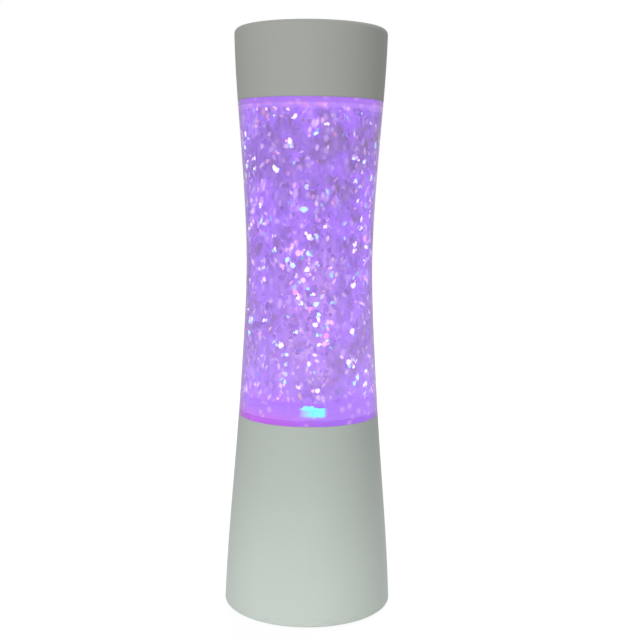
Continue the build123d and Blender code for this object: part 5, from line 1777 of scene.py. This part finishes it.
@dataclass
class Underside:
    """Raised marks beside the slide switch: a bar for on and a ring for off."""

    plate_bottom: float = 2.0
    relief: float = 0.3
    sunk: float = 0.05
    bevel: float = 0.1
    reach: float = 4.2
    back: float = -25.75
    mark_height: float = 3.2
    stroke: float = 0.6

    def build(self) -> None:
        """Makes and dresses the two marks on the plate's underside."""
        low, high = self.plate_bottom - self.relief, self.plate_bottom + self.sunk
        outer, stroke, bevel = self.mark_height / 2, self.stroke, self.bevel
        inner = outer - stroke
        bar = bars((-stroke / 2, -outer, low), (stroke / 2, outer, high), np.zeros(1))
        walls = [[outer, low + bevel], [outer, high], [inner, high], [inner, low + bevel]]
        ring = turned(np.array([*walls, [inner + bevel, low], [outer - bevel, low]]), 40)
        bar.points += [self.reach, self.back, 0]
        ring.points += [-self.reach, self.back, 0]
        dress((bar + ring).piece("switch_marks"), Paint.PLATE)


def dress_nodes(nodes: Mapping[str, bpy.types.Object]) -> None:
    """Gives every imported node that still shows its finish.

    Args:
        nodes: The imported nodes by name.
    """
    for finish, names in NODE_FINISHES.items():
        material = finish.material(f"{names[0]}_finish")
        for name in names:
            node = nodes[name]
            if not node.data.materials:
                node.data.materials.append(material)
            for slot in node.material_slots:
                slot.material = material
            log.info("%s: finished as %s", name, material.name)


# Camera, light and floor


@dataclass
class Studio:
    """Camera at the photograph's place, soft lamps, a bright world and a pale floor.

    The floor lies a hair under the feet. It shows white, and less so under the object, and towards the
    distance it throws back less light. Floor light is what it gives to matt surfaces from below.
    """

    eye: tuple[float, float, float] = (0.00607, -0.5956, 0.2341)
    target: tuple[float, float, float] = (0.0, 0.0, 0.16)
    pitch: float = 7.087
    roll: float = 0.510
    lens: float = 60.90
    sensor_width: float = 36.0
    ambient: float = 0.36
    mirrored: float = 0.26
    floor_reach: float = 3.0
    floor_level: float = -0.00004
    floor_grey: float = 0.90
    floor_white: float = 1.16
    floor_share: float = 0.74
    floor_light: float = 0.56
    floor_near: float = 180.0
    floor_far: float = 620.0
    far_grey: float = 0.5
    far_light: float = 0.3

    def camera(self) -> None:
        """Sets up the camera: sight along +Y, tipped down by the pitch and rolled about its own axis."""
        data = bpy.data.cameras.new("camera")
        data.lens, data.sensor_width = self.lens, self.sensor_width
        data.clip_start, data.clip_end = 0.01, 50.0
        made = bpy.data.objects.new("camera", data)
        bpy.context.scene.collection.objects.link(made)
        tip = Matrix.Rotation(math.radians(90 - self.pitch), 4, "X")
        roll = Matrix.Rotation(math.radians(self.roll), 4, "Z")
        made.matrix_world = Matrix.Translation(self.eye) @ (tip @ roll)
        bpy.context.scene.camera = made

    def lamp(self, name: str, place: tuple[float, float, float], size: float, level: float) -> None:
        """Adds a square soft lamp that faces the object.

        Args:
            name: Name of the lamp.
            place: Its place in metres.
            size: Length of its side in metres.
            level: Light on a surface that faces it, where 1 shows a colour as it is written.
        """
        data = bpy.data.lights.new(name, "AREA")
        sight = Vector(self.target) - Vector(place)
        data.size, data.energy = size, level * math.pi**2 * sight.length**2
        made = bpy.data.objects.new(name, data)
        made.location = place
        made.rotation_euler = sight.to_track_quat("-Z", "Y").to_euler()
        made.visible_glossy = made.visible_transmission = False
        bpy.context.scene.collection.objects.link(made)

    def seen(self, sheet: Sheet) -> Wire:
        """Returns 1 on rays from the camera, straight or through clear matter, and less on mirrored ones."""
        mirror = sheet.ray("Is Glossy Ray") * self.mirrored
        return sheet.ray("Is Camera Ray").larger(mirror).larger(sheet.ray("Is Transmission Ray"))

    def world(self) -> None:
        """Makes a white world that lights the object less than it shows."""
        world = bpy.data.worlds.new("world")
        world.use_nodes = True
        bpy.context.scene.world = world
        sheet = Sheet(world.node_tree)
        strength = self.ambient + self.seen(sheet) * (1 - self.ambient)
        sky = sheet.node("ShaderNodeBackground", None, {"Color": WHITE, "Strength": strength})
        sheet.output(sky, "Surface", "ShaderNodeOutputWorld")

    def floor_finish(self) -> bpy.types.Material:
        """Makes the floor's finish, which shows from above alone.

        It mixes a matt surface, which keeps the object's shadow, with a white glow.

        Returns:
            The new material.
        """
        sheet, material = Sheet.of_material("floor_white")
        far = sheet.off_axis().rise(self.floor_near, self.floor_far)
        level = 0.98 + sheet.noise(30.0, 3.0) * 0.04 - far * self.far_grey
        grey = sheet.shaded((self.floor_grey,) * 3, level)
        matt = sheet.node("ShaderNodeBsdfDiffuse", None, {"Color": grey})
        lighting = sheet.ray("Is Diffuse Ray")
        strength = self.floor_white - lighting * (self.floor_white - self.floor_light + far * self.far_light)
        glow = sheet.node("ShaderNodeEmission", None, {"Color": WHITE, "Strength": strength})
        share = (self.seen(sheet) * (self.floor_share + far * (1 - self.floor_share))).larger(lighting)
        mixed = sheet.node("ShaderNodeMixShader", None, {0: share, 1: matt, 2: glow})
        under = sheet.node("ShaderNodeNewGeometry", None, None, "Backfacing")
        clear = sheet.node("ShaderNodeBsdfTransparent", None, {"Color": WHITE})
        sheet.output(sheet.node("ShaderNodeMixShader", None, {0: under, 1: mixed, 2: clear}))
        material.cycles.emission_sampling = "NONE"
        return material

    def floor(self) -> None:
        """Makes the wide floor."""
        mesh = bpy.data.meshes.new("floor")
        reach = self.floor_reach
        corners = [((2 * x - 1) * reach, (2 * y - 1) * reach, self.floor_level) for x, y in SQUARE]
        mesh.from_pydata(corners, [], [(0, 1, 2, 3)])
        made = bpy.data.objects.new("floor", mesh)
        bpy.context.scene.collection.objects.link(made)
        mesh.materials.append(self.floor_finish())

    def build(self) -> None:
        """Sets up the whole studio."""
        bpy.context.scene.view_settings.view_transform = "Standard"
        self.camera()
        self.world()
        self.floor()
        self.lamp("key", (-0.36, -1.25, 0.50), 0.8, 0.48)
        self.lamp("back", (0.3, 0.9, 1.5), 1.0, 0.45)


def main(frame: Mapping[str, Any]) -> None:
    """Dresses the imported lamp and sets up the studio.

    Args:
        frame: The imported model.
    """
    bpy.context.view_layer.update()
    Studio().build()
    outline = Outline()
    for part in (BaseShell(outline), TopCap(outline), Bottle(outline), Glitter(outline), Underside()):
        part.build()
    dress_nodes(frame["nodes"])


if __name__ == "__main__":
    logging.basicConfig(level=logging.INFO, format="%(message)s")
    main(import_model())
